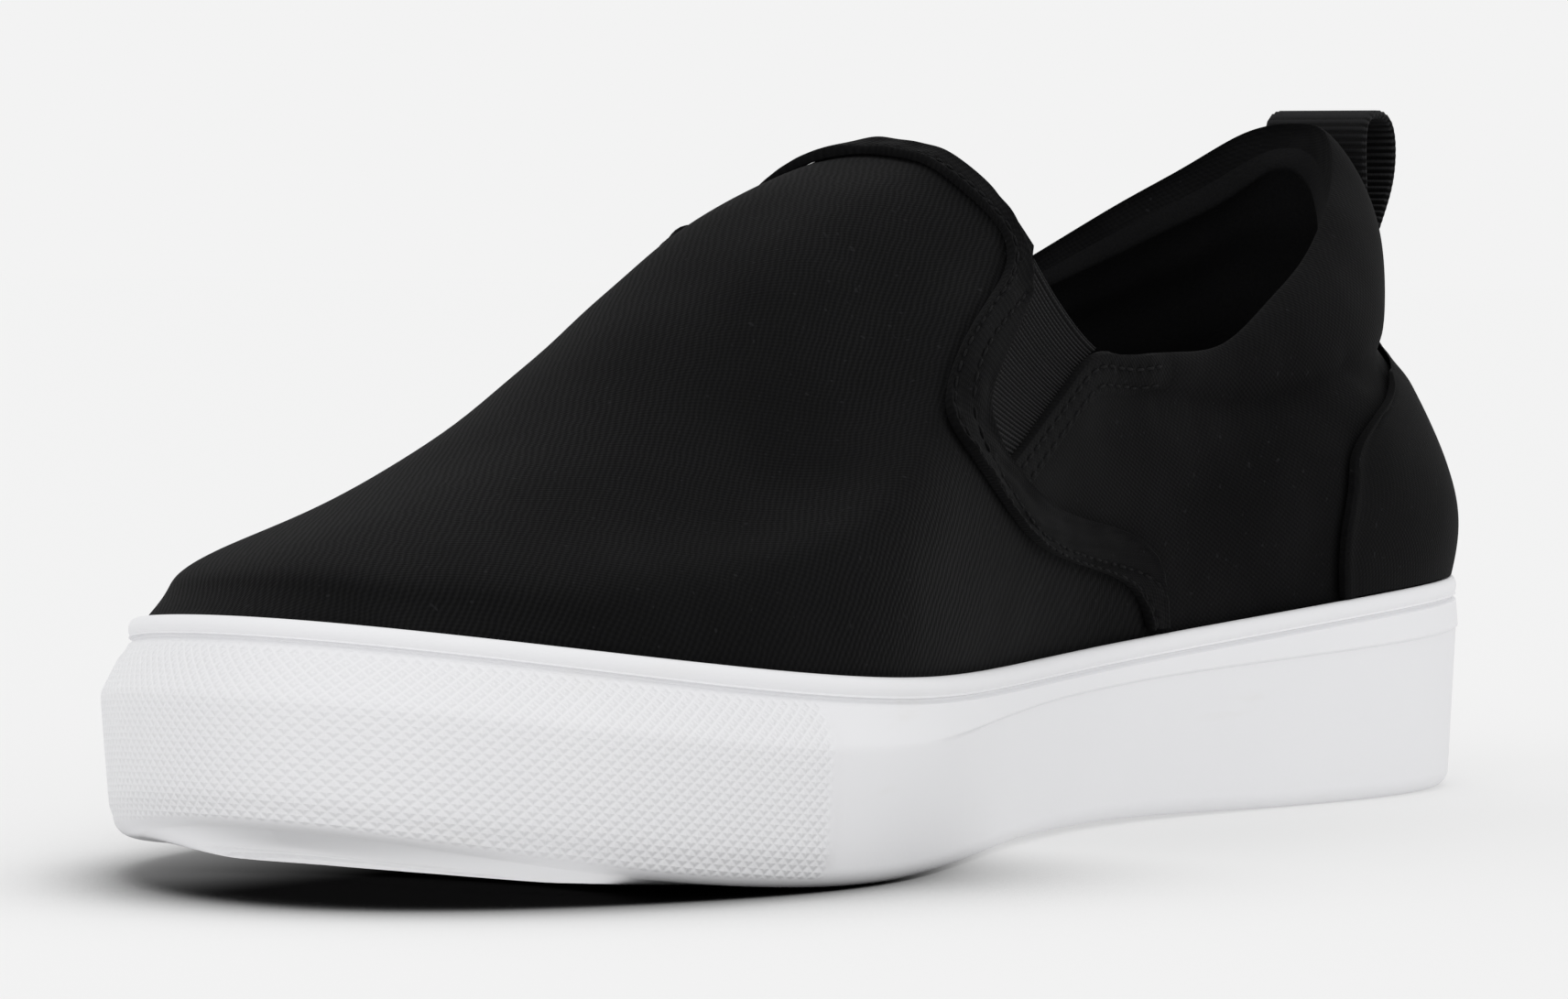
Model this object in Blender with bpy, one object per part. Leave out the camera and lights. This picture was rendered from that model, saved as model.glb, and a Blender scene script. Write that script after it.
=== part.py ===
"""Slip-on sneaker, right foot, standing empty on its sole.

The toe points to -Y, the big toe side is +X and +Z is up. The origin is on the floor, under the
middle of the sole's box. Lengths are in metres. `along` runs from the heel to the toe and `across`
to the big toe side, both measured from the middle of the heel, before the shoe is moved to the origin.
"""

import math

import bmesh
import bpy
import numpy as np
from mathutils import Vector

# Upper: the line where it leaves the sole, and its heights above that line
UPPER_LENGTH = 0.254
BALL_WIDTH = 0.092
HEEL_HEIGHT = 0.0660
QUARTER_HEIGHT = 0.0400
INSTEP_HEIGHT = 0.0674
COLLAR_LENGTH = 0.459 * UPPER_LENGTH
COLLAR_WIDTH = 0.652 * BALL_WIDTH
CANVAS_WALL = 0.0022
COLLAR_WALL = 0.0070
COLLAR_PAD_HEIGHT = 0.0260
COLLAR_PAD_BULGE = 0.0026
CREASE_DEPTH = 0.0007

# Sole: heights of its rim above the floor, and how far its side stands out from the upper
SOLE_HEIGHT = 0.0313
TOE_SPRING = 0.0125
ARCH_RISE = 0.0006
RIM_OUT = 0.0021
RIM_HEIGHT = 0.0031
GROOVE_DEPTH = 0.0006
GROOVE_WIDTH = 0.0008
CREST_DROP = 0.0090
SIDE_CREST_OUT = 0.0024
TOE_CREST_OUT = 0.0051
STEP_DEPTH = 0.0003
SIDE_TAPER = 0.0012
EDGE_RADIUS = 0.0025
BUMPER_RAISE = 0.0004
TREAD_DEPTH = 0.0016
TREAD_WIDTH = 0.0034

# Other pieces
THROAT_BAND_WIDTH = 0.0050
BAND_THICKNESS = 0.0010
GORE_THICKNESS = 0.0012
COUNTER_THICKNESS = 0.0010
INSOLE_THICKNESS = 0.0035
LOOP_WIDTH = 0.0176
LOOP_HEIGHT = 0.0193
LOOP_DEPTH = 0.0085
RIBBON_THICKNESS = 0.0011
GAP = 0.0003

COLUMNS_PER_SIDE = 36

# Stations round the upper, from the heel over the big toe side to the toe and back.
# along: share of UPPER_LENGTH, across: share of BALL_WIDTH, rim: share of SOLE_HEIGHT
STATIONS = (
    # name            along   across    rim
    ("heel_back",     0.000,  0.000,  1.000),
    ("heel_in_bend",  0.029,  0.258,  0.990),
    ("heel_in",       0.150,  0.352,  0.945),
    ("waist_in",      0.413,  0.280,  0.790),
    ("ball_in",       0.712,  0.485,  0.805),
    ("fore_in",       0.832,  0.445,  0.895),
    ("toe_in",        0.958,  0.260,  1.040),
    ("toe_tip",       0.998,  0.050,  1.095),
    ("toe_out",       0.938, -0.310,  1.030),
    ("fore_out",      0.812, -0.485,  0.890),
    ("ball_out",      0.650, -0.510,  0.800),
    ("waist_out",     0.394, -0.380,  0.800),
    ("heel_out",      0.150, -0.359,  0.945),
    ("heel_out_bend", 0.032, -0.252,  0.990),
)

# The top edge of the upper, at a place between stations, such as 3.5 midway from waist_in to ball_in.
# along: share of COLLAR_LENGTH, across: share of COLLAR_WIDTH, up: share of the height named
TOPLINE = (
    # at      along  across  up     height
    (0.00,  0.082,  0.000, 1.000, "heel"),
    (0.60,  0.108,  0.120, 0.976, "heel"),
    (1.10,  0.175,  0.215, 0.896, "heel"),
    (1.50,  0.270,  0.305, 0.806, "heel"),
    (1.85,  0.385,  0.380, 0.702, "heel"),
    (2.15,  0.500,  0.425, 0.617, "heel"),
    (2.50,  0.640,  0.455, 1.020, "quarter"),
    (2.85,  0.780,  0.478, 0.995, "quarter"),
    (3.20,  0.915,  0.505, 0.990, "quarter"),
    (3.45,  0.985,  0.512, 1.080, "quarter"),
    (3.75,  1.070,  0.480, 0.798, "instep"),
    (4.40,  1.075,  0.385, 0.900, "instep"),
    (5.20,  1.045,  0.245, 0.962, "instep"),
    (6.20,  1.015,  0.100, 0.992, "instep"),
    (7.00,  1.005,  0.000, 1.000, "instep"),
    (7.80,  1.015, -0.100, 0.992, "instep"),
    (8.80,  1.040, -0.230, 0.938, "instep"),
    (9.60,  1.065, -0.365, 0.848, "instep"),
    (10.25, 1.070, -0.465, 0.788, "instep"),
    (10.55, 0.985, -0.512, 1.080, "quarter"),
    (10.80, 0.915, -0.505, 0.990, "quarter"),
    (11.15, 0.780, -0.478, 0.995, "quarter"),
    (11.50, 0.640, -0.455, 1.020, "quarter"),
    (11.85, 0.500, -0.425, 0.617, "heel"),
    (12.15, 0.385, -0.380, 0.702, "heel"),
    (12.50, 0.270, -0.305, 0.806, "heel"),
    (12.90, 0.175, -0.215, 0.896, "heel"),
    (13.40, 0.108, -0.120, 0.976, "heel"),
)

# How the upper climbs from the sole to its top edge: four heights between the two, each with the share
# of the way in, the share of the way up, and how far it stands out, as a share of CANVAS_WALL
CLIMBS = {
    "back":    ((0.00, 0.17, 0.25), (0.12, 0.38, -0.30), (0.42, 0.58, -0.30), (0.66, 0.82, 0.15)),
    "heel":    ((0.00, 0.17, 0.30), (0.20, 0.38, -0.30), (0.52, 0.58, -0.25), (0.74, 0.82, 0.20)),
    "quarter": ((0.00, 0.21, 0.80), (0.10, 0.42, 1.20), (0.38, 0.64, 0.90), (0.70, 0.84, 0.30)),
    "ball":    ((0.03, 0.17, 0.50), (0.13, 0.36, 0.60), (0.38, 0.55, 0.20), (0.70, 0.79, 0.20)),
    "fore":    ((0.03, 0.10, 0.20), (0.13, 0.22, 0.10), (0.40, 0.39, 0.00), (0.73, 0.75, 0.00)),
    "toe":     ((0.03, 0.06, 0.00), (0.10, 0.14, 0.00), (0.40, 0.37, 0.00), (0.73, 0.79, 0.00)),
}
STATION_CLIMB = (
    "back", "heel", "quarter", "quarter", "ball", "fore", "toe", "toe",
    "toe", "fore", "ball", "quarter", "quarter", "heel",
)


def periodic_spline(knots, values):
    """A smooth closed curve through the values at the knots; knots run from 0 to just under 1."""
    knots = np.append(knots, 1.0)
    values = np.asarray(values, float)
    values = np.vstack([values, values[:1]])
    count = len(knots) - 1
    step = np.diff(knots)
    slope = np.diff(values, axis=0) / step[:, None]
    matrix = np.zeros((count, count))
    right = np.zeros((count, values.shape[1]))
    for i in range(count):
        before, after = (i - 1) % count, (i + 1) % count
        matrix[i, before] += step[before]
        matrix[i, i] += 2 * (step[before] + step[i])
        matrix[i, after] += step[i]
        right[i] = 6 * (slope[i] - slope[before])
    bend = np.linalg.solve(matrix, right)
    bend = np.vstack([bend, bend[:1]])

    def curve(t):
        t = np.mod(np.asarray(t, float), 1.0)
        i = np.clip(np.searchsorted(knots, t, side="right") - 1, 0, count - 1)
        gap = step[i][..., None]
        b = (t - knots[i])[..., None] / gap
        a = 1 - b
        return (
            a * values[i]
            + b * values[i + 1]
            + ((a**3 - a) * bend[i] + (b**3 - b) * bend[i + 1]) * gap**2 / 6
        )

    return curve


def ring_weights(h, count):
    """Weights of a natural cubic spline through `count` evenly spaced rings, at heights h from 0 to 1."""
    matrix = np.eye(count)
    right = np.zeros((count, count))
    for i in range(1, count - 1):
        matrix[i, i - 1 : i + 2] = (1, 4, 1)
        right[i, i - 1 : i + 2] = (6, -12, 6)
    bend = np.linalg.solve(matrix, right)
    x = np.asarray(h, float) * (count - 1)
    i = np.clip(np.floor(x).astype(int), 0, count - 2)
    b = (x - i)[..., None]
    a = 1 - b
    eye = np.eye(count)
    return a * eye[i] + b * eye[i + 1] + ((a**3 - a) * bend[i] + (b**3 - b) * bend[i + 1]) / 6


def smooth_step(x, low, high):
    s = np.clip((np.asarray(x, float) - low) / (high - low), 0, 1)
    return s * s * (3 - 2 * s)


OUTLINE_POINTS = np.array([(s[1] * UPPER_LENGTH, s[2] * BALL_WIDTH) for s in STATIONS])
SPACING = np.linalg.norm(np.roll(OUTLINE_POINTS, -1, axis=0) - OUTLINE_POINTS, axis=1) ** 0.6
STATION_T = np.concatenate([[0.0], np.cumsum(SPACING)[:-1]]) / SPACING.sum()
TOE_T = STATION_T[7]
RIM_HEIGHTS = np.array([s[3] * SOLE_HEIGHT for s in STATIONS])
FEATHER = periodic_spline(STATION_T, np.column_stack([OUTLINE_POINTS, RIM_HEIGHTS]))


def at_station(place):
    """The share of the way round, t, for a place counted in stations."""
    return np.interp(place, np.arange(len(STATION_T) + 1), np.append(STATION_T, 1.0))


def topline_points():
    base = {
        "heel": RIM_HEIGHTS[0],
        "quarter": RIM_HEIGHTS[3],
        "instep": RIM_HEIGHTS[3],
    }
    tall = {"heel": HEEL_HEIGHT, "quarter": QUARTER_HEIGHT, "instep": INSTEP_HEIGHT}
    return [
        (along * COLLAR_LENGTH, across * COLLAR_WIDTH, base[name] + up * tall[name])
        for _, along, across, up, name in TOPLINE
    ]


TOP = periodic_spline(at_station([row[0] for row in TOPLINE]), topline_points())
CLIMB = periodic_spline(STATION_T, [np.ravel(CLIMBS[name]) for name in STATION_CLIMB])


def outward(t):
    """Unit vector in plan, square to the feather line and pointing away from the shoe."""
    step = 1e-4
    run = (FEATHER(t + step) - FEATHER(t - step))[..., :2]
    normal = np.stack([-run[..., 1], run[..., 0]], axis=-1)
    return normal / np.linalg.norm(normal, axis=-1, keepdims=True) * OUT_SIGN


def _outward_sign():
    t = np.array([0.0])
    run = (FEATHER(t + 1e-4) - FEATHER(t - 1e-4))[0, :2]
    return -1.0 if -run[1] > 0 else 1.0


OUT_SIGN = _outward_sign()


def climb_surface(t, h):
    """The upper's smooth outer surface, without padding."""
    foot, top = FEATHER(t), TOP(t)
    out = outward(t)
    climb = CLIMB(t)
    rings = [foot]
    for k in range(4):
        way_in, way_up, stand = (climb[..., 3 * k + j] for j in range(3))
        ring = foot + (top - foot) * np.stack([way_in, way_in, way_up], axis=-1)
        ring[..., :2] += out * (stand * CANVAS_WALL)[..., None]
        rings.append(ring)
    rings.append(top)
    weights = ring_weights(h, len(rings))
    return sum(weights[..., k, None] * ring for k, ring in enumerate(rings))


# Height of the padded roll under the top edge, and how thick the edge is there, at places
# between stations. roll: share of COLLAR_PAD_HEIGHT, thick: share of COLLAR_WALL
COLLAR = (
    # at     roll   thick
    (0.00,  1.00,  1.00),
    (1.00,  0.92,  1.00),
    (1.50,  0.78,  1.00),
    (2.00,  0.50,  0.68),
    (2.50,  0.30,  0.52),
    (3.00,  0.18,  0.40),
    (3.30,  0.05,  0.32),
    (5.00,  0.04,  0.32),
    (7.00,  0.04,  0.32),
    (9.00,  0.04,  0.32),
    (10.70, 0.05,  0.32),
    (11.00, 0.18,  0.40),
    (11.50, 0.30,  0.52),
    (12.00, 0.50,  0.68),
    (12.50, 0.78,  1.00),
    (13.00, 0.92,  1.00),
)


def collar(t, column):
    places = at_station([row[0] for row in COLLAR] + [len(STATION_T)])
    values = [row[column] for row in COLLAR] + [COLLAR[0][column]]
    return np.interp(np.mod(t, 1.0), places, values)


def square_to(surface, t, h, step=1e-3):
    """Unit vector square to a surface of t and h, pointing out of the shoe."""
    low, high = np.clip(h - step, 0, 1), np.clip(h + step, 0, 1)
    around = surface(t + step, h) - surface(t - step, h)
    upward = surface(t, high) - surface(t, low)
    normal = np.cross(around, upward) * NORMAL_SIGN
    return normal / np.maximum(np.linalg.norm(normal, axis=-1, keepdims=True), 1e-12)


NORMAL_SIGN = -OUT_SIGN


def padding(t, h):
    """How far the padded collar swells out, with the crease under it."""
    surface = climb_surface(t, h)
    top = TOP(t)[..., 2]
    roll = collar(t, 1) * COLLAR_PAD_HEIGHT
    depth = (top - surface[..., 2]) / np.maximum(roll, 0.01 * COLLAR_PAD_HEIGHT)
    full = smooth_step(collar(t, 1), 0.05, 0.45)
    swell = np.sin(np.pi * np.clip(depth, 0, 1) ** 0.8) ** 0.8 * COLLAR_PAD_BULGE
    crease = np.exp(-(((depth - 1.05) / 0.20) ** 2)) * CREASE_DEPTH
    return full * (swell - crease)


def upper_surface(t, h):
    """The upper's outer surface."""
    t, h = np.broadcast_arrays(np.asarray(t, float), np.asarray(h, float))
    return climb_surface(t, h) + square_to(climb_surface, t, h) * padding(t, h)[..., None]


def lifted(t, h, lift):
    """A point held `lift` outside the upper's surface."""
    t, h = np.broadcast_arrays(np.asarray(t, float), np.asarray(h, float))
    lift = np.asarray(lift, float)[..., None]
    return upper_surface(t, h) + square_to(upper_surface, t, h) * lift


# Edges of the folded band along the vamp, from the sole to the tab, with the front and rear edge side
# by side. place: how far round between stations, up: share of the way from the sole to the top edge
BAND = (
    # front        rear
    (2.82, 0.027, 2.76, 0.031),
    (2.86, 0.120, 2.78, 0.134),
    (2.93, 0.210, 2.82, 0.252),
    (3.03, 0.267, 2.91, 0.356),
    (3.16, 0.302, 3.05, 0.426),
    (3.33, 0.351, 3.20, 0.460),
    (3.52, 0.415, 3.39, 0.479),
    (3.71, 0.473, 3.57, 0.504),
    (3.92, 0.557, 3.72, 0.549),
    (4.14, 0.645, 3.80, 0.620),
    (4.17, 0.711, 3.79, 0.703),
    (4.05, 0.775, 3.75, 0.800),
    (3.92, 0.853, 3.72, 0.897),
    (3.88, 0.938, 3.74, 0.974),
)
# Edges of the elastic, from its straight top edge down to its narrow foot, in the same way
GORE = (
    # front        rear
    (3.75, 1.000, 3.35, 1.000),
    (3.72, 0.899, 3.40, 0.908),
    (3.75, 0.800, 3.44, 0.794),
    (3.79, 0.703, 3.49, 0.680),
    (3.79, 0.622, 3.53, 0.601),
    (3.71, 0.551, 3.57, 0.540),
    (3.64, 0.517, 3.60, 0.509),
)
# Side edge of the heel counter. up: share of the way to the crease under the collar,
# place: how far round from the middle of the heel, between stations
COUNTER_EDGE = (
    (0.00, 2.18),
    (0.20, 2.21),
    (0.40, 2.22),
    (0.60, 2.20),
    (0.80, 2.08),
    (1.00, 1.58),
)


def path_on_upper(rows, side):
    """The t and h of a path's rows, which are given for the big toe side."""
    rows = np.asarray(rows, float)
    place = rows[:, 0] if side > 0 else len(STATION_T) - rows[:, 0]
    return np.column_stack([at_station(place), rows[:, 1]])


def open_spline(points, count):
    """`count` places along a smooth open curve through the points, evenly spread over it."""
    points = np.asarray(points, float)
    weights = ring_weights(np.linspace(0, 1, 400), len(points))
    dense = weights @ points
    length = np.concatenate([[0], np.cumsum(np.linalg.norm(np.diff(dense, axis=0), axis=1))])
    at = np.linspace(0, length[-1], count)
    return np.column_stack([np.interp(at, length, dense[:, k]) for k in range(points.shape[1])])


# Places round the upper, the same number on both sides so that they pair up across the shoe
def side_columns(count):
    share = np.linspace(0, 1, count + 1)
    share = share - 0.25 * np.sin(2 * np.pi * share) / (2 * np.pi)
    dense = np.linspace(0, 1, 4001)
    curve = FEATHER(dense)[:, :2]
    length = np.concatenate([[0], np.cumsum(np.linalg.norm(np.diff(curve, axis=0), axis=1))])
    toe = np.interp(TOE_T, dense, length)
    near = np.interp(share * toe, length, dense)
    far = np.interp(toe + (1 - share[1:-1][::-1]) * (length[-1] - toe), length, dense)
    return np.concatenate([near, far])


COLUMNS = side_columns(COLUMNS_PER_SIDE)


def wall_ring(t, out, height):
    """A ring standing `out` from the feather line in plan, at heights above the floor."""
    ring = FEATHER(t)
    ring[:, :2] += outward(t) * np.broadcast_to(out, t.shape)[:, None]
    ring[:, 2] = height
    return ring


def bottom_height(along):
    """The underside of the sole above the floor: flat from heel to ball, then the toe spring."""
    rise = np.clip((np.asarray(along) - 0.70 * UPPER_LENGTH) / (0.34 * UPPER_LENGTH), 0, None)
    arch = smooth_step(along, 0.22 * UPPER_LENGTH, 0.40 * UPPER_LENGTH)
    arch = arch * (1 - smooth_step(along, 0.48 * UPPER_LENGTH, 0.62 * UPPER_LENGTH))
    return TOE_SPRING * rise**2.3 + ARCH_RISE * arch


def floor_height(along):
    """The cup's floor, on which the insole lies."""
    share = np.asarray(along) / UPPER_LENGTH
    places = (-0.02, 0.10, 0.25, 0.43, 0.55, 0.68, 0.85, 1.02)
    heights = (0.735, 0.70, 0.62, 0.52, 0.50, 0.51, 0.60, 0.79)
    return np.interp(share, places, heights) * SOLE_HEIGHT


def crest_out(t):
    """How far the crest stands out from the upper, most round the toe."""
    along = FEATHER(t)[:, 0] / UPPER_LENGTH
    return SIDE_CREST_OUT + (TOE_CREST_OUT - SIDE_CREST_OUT) * smooth_step(along, 0.55, 0.93)


def crest_drop(t):
    along = FEATHER(t)[:, 0] / UPPER_LENGTH
    return CREST_DROP * (0.78 - 0.20 * smooth_step(along, 0.1, 0.4) + 0.42 * smooth_step(along, 0.45, 0.85))


def sole_rings(t, groove=True):
    """Rings of the sole's wall from the inside of the cup over the rim down to the edge of the bottom."""
    feather = FEATHER(t)
    rim, along = feather[:, 2], feather[:, 0]
    crest, drop = crest_out(t), crest_drop(t)
    bottom = bottom_height(along)
    bump = BUMPER_RAISE * smooth_step(along / UPPER_LENGTH, 0.775, 0.785)
    rows = [
        (GAP, floor_height(along)),
        (GAP, rim - 0.26 * RIM_HEIGHT),
        (0.29 * RIM_OUT, rim - 0.03 * RIM_HEIGHT),
        (0.55 * RIM_OUT, rim + 0.06 * RIM_HEIGHT),
        (0.90 * RIM_OUT, rim - 0.16 * RIM_HEIGHT),
        (RIM_OUT, rim - 0.50 * RIM_HEIGHT),
        (0.95 * RIM_OUT, rim - 0.87 * RIM_HEIGHT),
        (RIM_OUT - GROOVE_DEPTH, rim - RIM_HEIGHT),
        (RIM_OUT, rim - RIM_HEIGHT - 0.6 * GROOVE_WIDTH),
        (0.75 * RIM_OUT + 0.25 * crest + bump, rim - 0.68 * RIM_HEIGHT - 0.32 * drop),
        (crest + bump, rim - drop),
        (crest + bump - STEP_DEPTH, rim - drop - 2 * STEP_DEPTH),
        (crest + bump - 0.5 * (STEP_DEPTH + SIDE_TAPER), 0.5 * (rim - drop + bottom)),
        (crest + bump - SIDE_TAPER, bottom + 1.2 * EDGE_RADIUS),
        (crest - SIDE_TAPER - 0.25 * EDGE_RADIUS, bottom + 0.35 * EDGE_RADIUS),
        (crest - SIDE_TAPER - 1.00 * EDGE_RADIUS, bottom),
    ]
    return [wall_ring(t, out, height) for out, height in rows]


def rungs(ring, inner, height_of):
    """Points across a ring that lies flat, row by row from the heel to the toe, between paired columns."""
    half = len(ring) // 2
    rows = []
    for i in range(1, half):
        near, far = ring[i], ring[-i]
        share = np.linspace(0, 1, inner + 2)[1:-1, None]
        row = near + (far - near) * share
        row[:, 2] = height_of(row[:, 0])
        rows.append(row)
    return rows


class Shell:
    """Collects points and faces, and turns them into one object."""

    def __init__(self):
        self.points = []
        self.faces = []

    def add(self, points):
        start = len(self.points)
        self.points.extend(np.asarray(points, float))
        return list(range(start, len(self.points)))

    def join(self, lower, upper, closed=True):
        count = len(lower)
        for i in range(count if closed else count - 1):
            j = (i + 1) % count
            self.faces.append((lower[i], lower[j], upper[j], upper[i]))

    def ladder(self, ring, rows):
        """Fills a ring with the rungs laid across it."""
        half = len(ring) // 2
        full = [[ring[i]] + rows[i - 1] + [ring[-i]] for i in range(1, half)]
        for end, row in ((ring[0], full[0]), (ring[half], full[-1])):
            for a, b in zip(row, row[1:]):
                self.faces.append((end, a, b))
        for first, second in zip(full, full[1:]):
            for k in range(len(first) - 1):
                self.faces.append((first[k], first[k + 1], second[k + 1], second[k]))

    def build(self, name, material):
        """Moves the points to the shoe's frame and makes the object."""
        mesh = bpy.data.meshes.new(name)
        mesh.from_pydata([tuple(to_frame(p)) for p in self.points], [], self.faces)
        shape = bmesh.new()
        shape.from_mesh(mesh)
        bmesh.ops.remove_doubles(shape, verts=shape.verts, dist=1e-6)
        bmesh.ops.recalc_face_normals(shape, faces=shape.faces)
        if shape.calc_volume(signed=True) < 0:
            bmesh.ops.reverse_faces(shape, faces=shape.faces)
        shape.to_mesh(mesh)
        shape.free()
        mesh.materials.append(material)
        thing = bpy.data.objects.new(name, mesh)
        bpy.context.scene.collection.objects.link(thing)
        return thing


def to_frame(point):
    """From along, across and up to the shoe's own axes, with the toe to -Y."""
    return np.array([point[1], -point[0], point[2]])


def centre_on_floor(things):
    """Moves all the pieces so that the origin is under the middle of the shoe's box."""
    corners = np.array([tuple(v.co) for thing in things for v in thing.data.vertices])
    low, high = corners.min(axis=0), corners.max(axis=0)
    shift = (-0.5 * (low[0] + high[0]), -0.5 * (low[1] + high[1]), -low[2])
    for thing in things:
        for vertex in thing.data.vertices:
            vertex.co += Vector(shift)


def paint(name, color, roughness):
    material = bpy.data.materials.new(name)
    material.use_nodes = True
    shader = material.node_tree.nodes["Principled BSDF"]
    shader.inputs["Base Color"].default_value = (*color, 1.0)
    shader.inputs["Roughness"].default_value = roughness
    material.diffuse_color = (*color, 1.0)
    return material


# Curved grooves between the tread lugs. along: share of UPPER_LENGTH in the middle of the shoe,
# reach: half its length as a share of BALL_WIDTH, middle: across, share of BALL_WIDTH,
# bow: how far its middle runs ahead of its ends, share of UPPER_LENGTH
TREAD_GROOVES = (
    (0.060, 0.19, 0.00, 0.030),
    (0.110, 0.23, 0.00, 0.030),
    (0.160, 0.25, 0.00, 0.030),
    (0.210, 0.25, -0.01, 0.030),
    (0.560, 0.33, -0.04, 0.030),
    (0.610, 0.37, -0.03, 0.030),
    (0.660, 0.39, -0.02, 0.030),
    (0.710, 0.39, -0.01, 0.030),
    (0.760, 0.38, -0.01, 0.032),
    (0.810, 0.36, -0.01, 0.034),
    (0.860, 0.31, -0.01, 0.036),
    (0.910, 0.23, 0.00, 0.038),
)


def groove_cutters(material):
    """Bars that bow towards the toe, from under the sole up to the bottom of each groove."""
    shell = Shell()
    for along, reach, middle, bow in TREAD_GROOVES:
        share = np.linspace(-1, 1, 7)
        across = (middle + reach * share) * BALL_WIDTH
        line = (along + bow * (1 - share**2)) * UPPER_LENGTH
        rings = []
        for shift, up in ((-0.5, -1), (0.5, -1), (0.5, 1), (-0.5, 1)):
            edge = line + shift * TREAD_WIDTH
            height = bottom_height(line) + TREAD_DEPTH if up > 0 else np.full(7, -TREAD_DEPTH)
            rings.append(shell.add(np.column_stack([edge, across, height])))
        for first, second in zip(rings, rings[1:] + rings[:1]):
            shell.join(first, second, closed=False)
        for i in (0, -1):
            shell.faces.append(tuple(ring[i] for ring in rings))
    return shell.build("groove_cutter", material)


def build_sole(material):
    shell = Shell()
    rings = [shell.add(ring) for ring in sole_rings(COLUMNS)]
    for lower, upper in zip(rings, rings[1:]):
        shell.join(lower, upper)
    points = np.array(shell.points)
    floor_rows = [shell.add(row) for row in rungs(points[rings[0]], 3, floor_height)]
    shell.ladder(rings[0], floor_rows)
    under_rows = [shell.add(row) for row in rungs(points[rings[-1]], 3, bottom_height)]
    shell.ladder(rings[-1], under_rows)
    return shell.build("sole", material)


def upper_wall(t, h):
    """Thickness of the upper: full in the padded roll, thin below it, rounded off at the top edge."""
    roll = collar(t, 1) * COLLAR_PAD_HEIGHT
    edge = np.maximum(collar(t, 2) * COLLAR_WALL, CANVAS_WALL)
    depth = TOP(t)[..., 2] - climb_surface(t, h)[..., 2]
    reach = np.linalg.norm(TOP(t) - climb_surface(t, h), axis=-1)
    pad = 1 - smooth_step(depth / np.maximum(roll, 0.04 * COLLAR_PAD_HEIGHT), 0.55, 1.10)
    wall = CANVAS_WALL + (edge - CANVAS_WALL) * pad
    round_off = np.clip(reach / (0.5 * edge), 0, 1)
    return wall * np.sqrt(1 - (1 - round_off) ** 2)


# Rows of the upper's mesh; the row at CREASE_ROW runs along the crease under the collar
OUTER_HEIGHTS = (0, 0.07, 0.15, 0.24, 0.33, 0.42, 0.50, 0.56, 0.60, 0.65, 0.71, 0.79, 0.88, 0.95, 0.985, 1.0)
CREASE_ROW = OUTER_HEIGHTS[8]
INNER_HEIGHTS = (0.99, 0.965, 0.92, 0.84, 0.73, 0.59, 0.45, 0.30, 0.17, 0.07, 0.0)


def crease_level(t):
    """The h of the crease under the padded collar, or of the same row where there is no padding."""
    t = np.asarray(t, float)
    levels = np.linspace(0.3, 0.95, 66)
    heights = climb_surface(t[..., None], levels)[..., 2].reshape(-1, 66)
    want = (TOP(t)[..., 2] - 1.05 * collar(t, 1) * COLLAR_PAD_HEIGHT).ravel()
    level = [np.interp(w, row, levels) for w, row in zip(want, heights)]
    full = smooth_step(collar(t, 1), 0.05, 0.30)
    return CREASE_ROW + (np.reshape(level, t.shape) - CREASE_ROW) * full


def warped(t, row):
    """The h of a mesh row, so that CREASE_ROW falls on the crease."""
    level = crease_level(t)
    if row <= CREASE_ROW:
        return level * row / CREASE_ROW
    return level + (1 - level) * (row - CREASE_ROW) / (1 - CREASE_ROW)


def build_upper(material):
    shell = Shell()
    skirt = floor_height(FEATHER(COLUMNS)[:, 0]) + GAP
    rings = [shell.add(wall_ring(COLUMNS, -CANVAS_WALL, skirt))]
    rings.append(shell.add(wall_ring(COLUMNS, 0.0, skirt)))
    for h in OUTER_HEIGHTS:
        rings.append(shell.add(upper_surface(COLUMNS, warped(COLUMNS, h))))
    for h in INNER_HEIGHTS:
        rings.append(shell.add(lifted(COLUMNS, h, -upper_wall(COLUMNS, np.full_like(COLUMNS, h)))))
    for lower, upper in zip(rings, rings[1:] + rings[:1]):
        shell.join(lower, upper)
    return shell.build("upper", material)


def sheet(shell, t, h, inner, outer, closed=False):
    """A closed plate over a grid of places on the upper, between two lifts from its surface."""
    shape = t.shape
    flat_t, flat_h = t.ravel(), h.ravel()
    low = np.array(shell.add(lifted(flat_t, flat_h, np.broadcast_to(inner, shape).ravel()))).reshape(shape)
    high = np.array(shell.add(lifted(flat_t, flat_h, np.broadcast_to(outer, shape).ravel()))).reshape(shape)
    rows, columns = shape
    for i in range(rows - 1):
        for j in range(columns - 1):
            for face in (low, high):
                corners = (face[i, j], face[i, j + 1], face[i + 1, j + 1], face[i + 1, j])
                shell.faces.append(tuple(int(c) for c in corners))
    edge = [(0, j) for j in range(columns - 1)]
    edge += [(i, columns - 1) for i in range(rows - 1)]
    edge += [(rows - 1, j) for j in range(columns - 1, 0, -1)]
    edge += [(i, 0) for i in range(rows - 1, 0, -1)]
    for k, place in enumerate(edge):
        after = edge[(k + 1) % len(edge)]
        shell.faces.append((int(low[place]), int(low[after]), int(high[after]), int(high[place])))


def between(first, second, columns):
    """A grid of places from one edge to the other."""
    share = np.linspace(0, 1, columns)
    t = first[:, :1] + (second[:, :1] - first[:, :1]) * share
    h = first[:, 1:] + (second[:, 1:] - first[:, 1:]) * share
    return t, h


def gore_edges(side, count):
    rows = np.array(GORE)
    front = open_spline(path_on_upper(rows[:, :2], side), count)
    rear = open_spline(path_on_upper(rows[:, 2:], side), count)
    return front, rear


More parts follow.
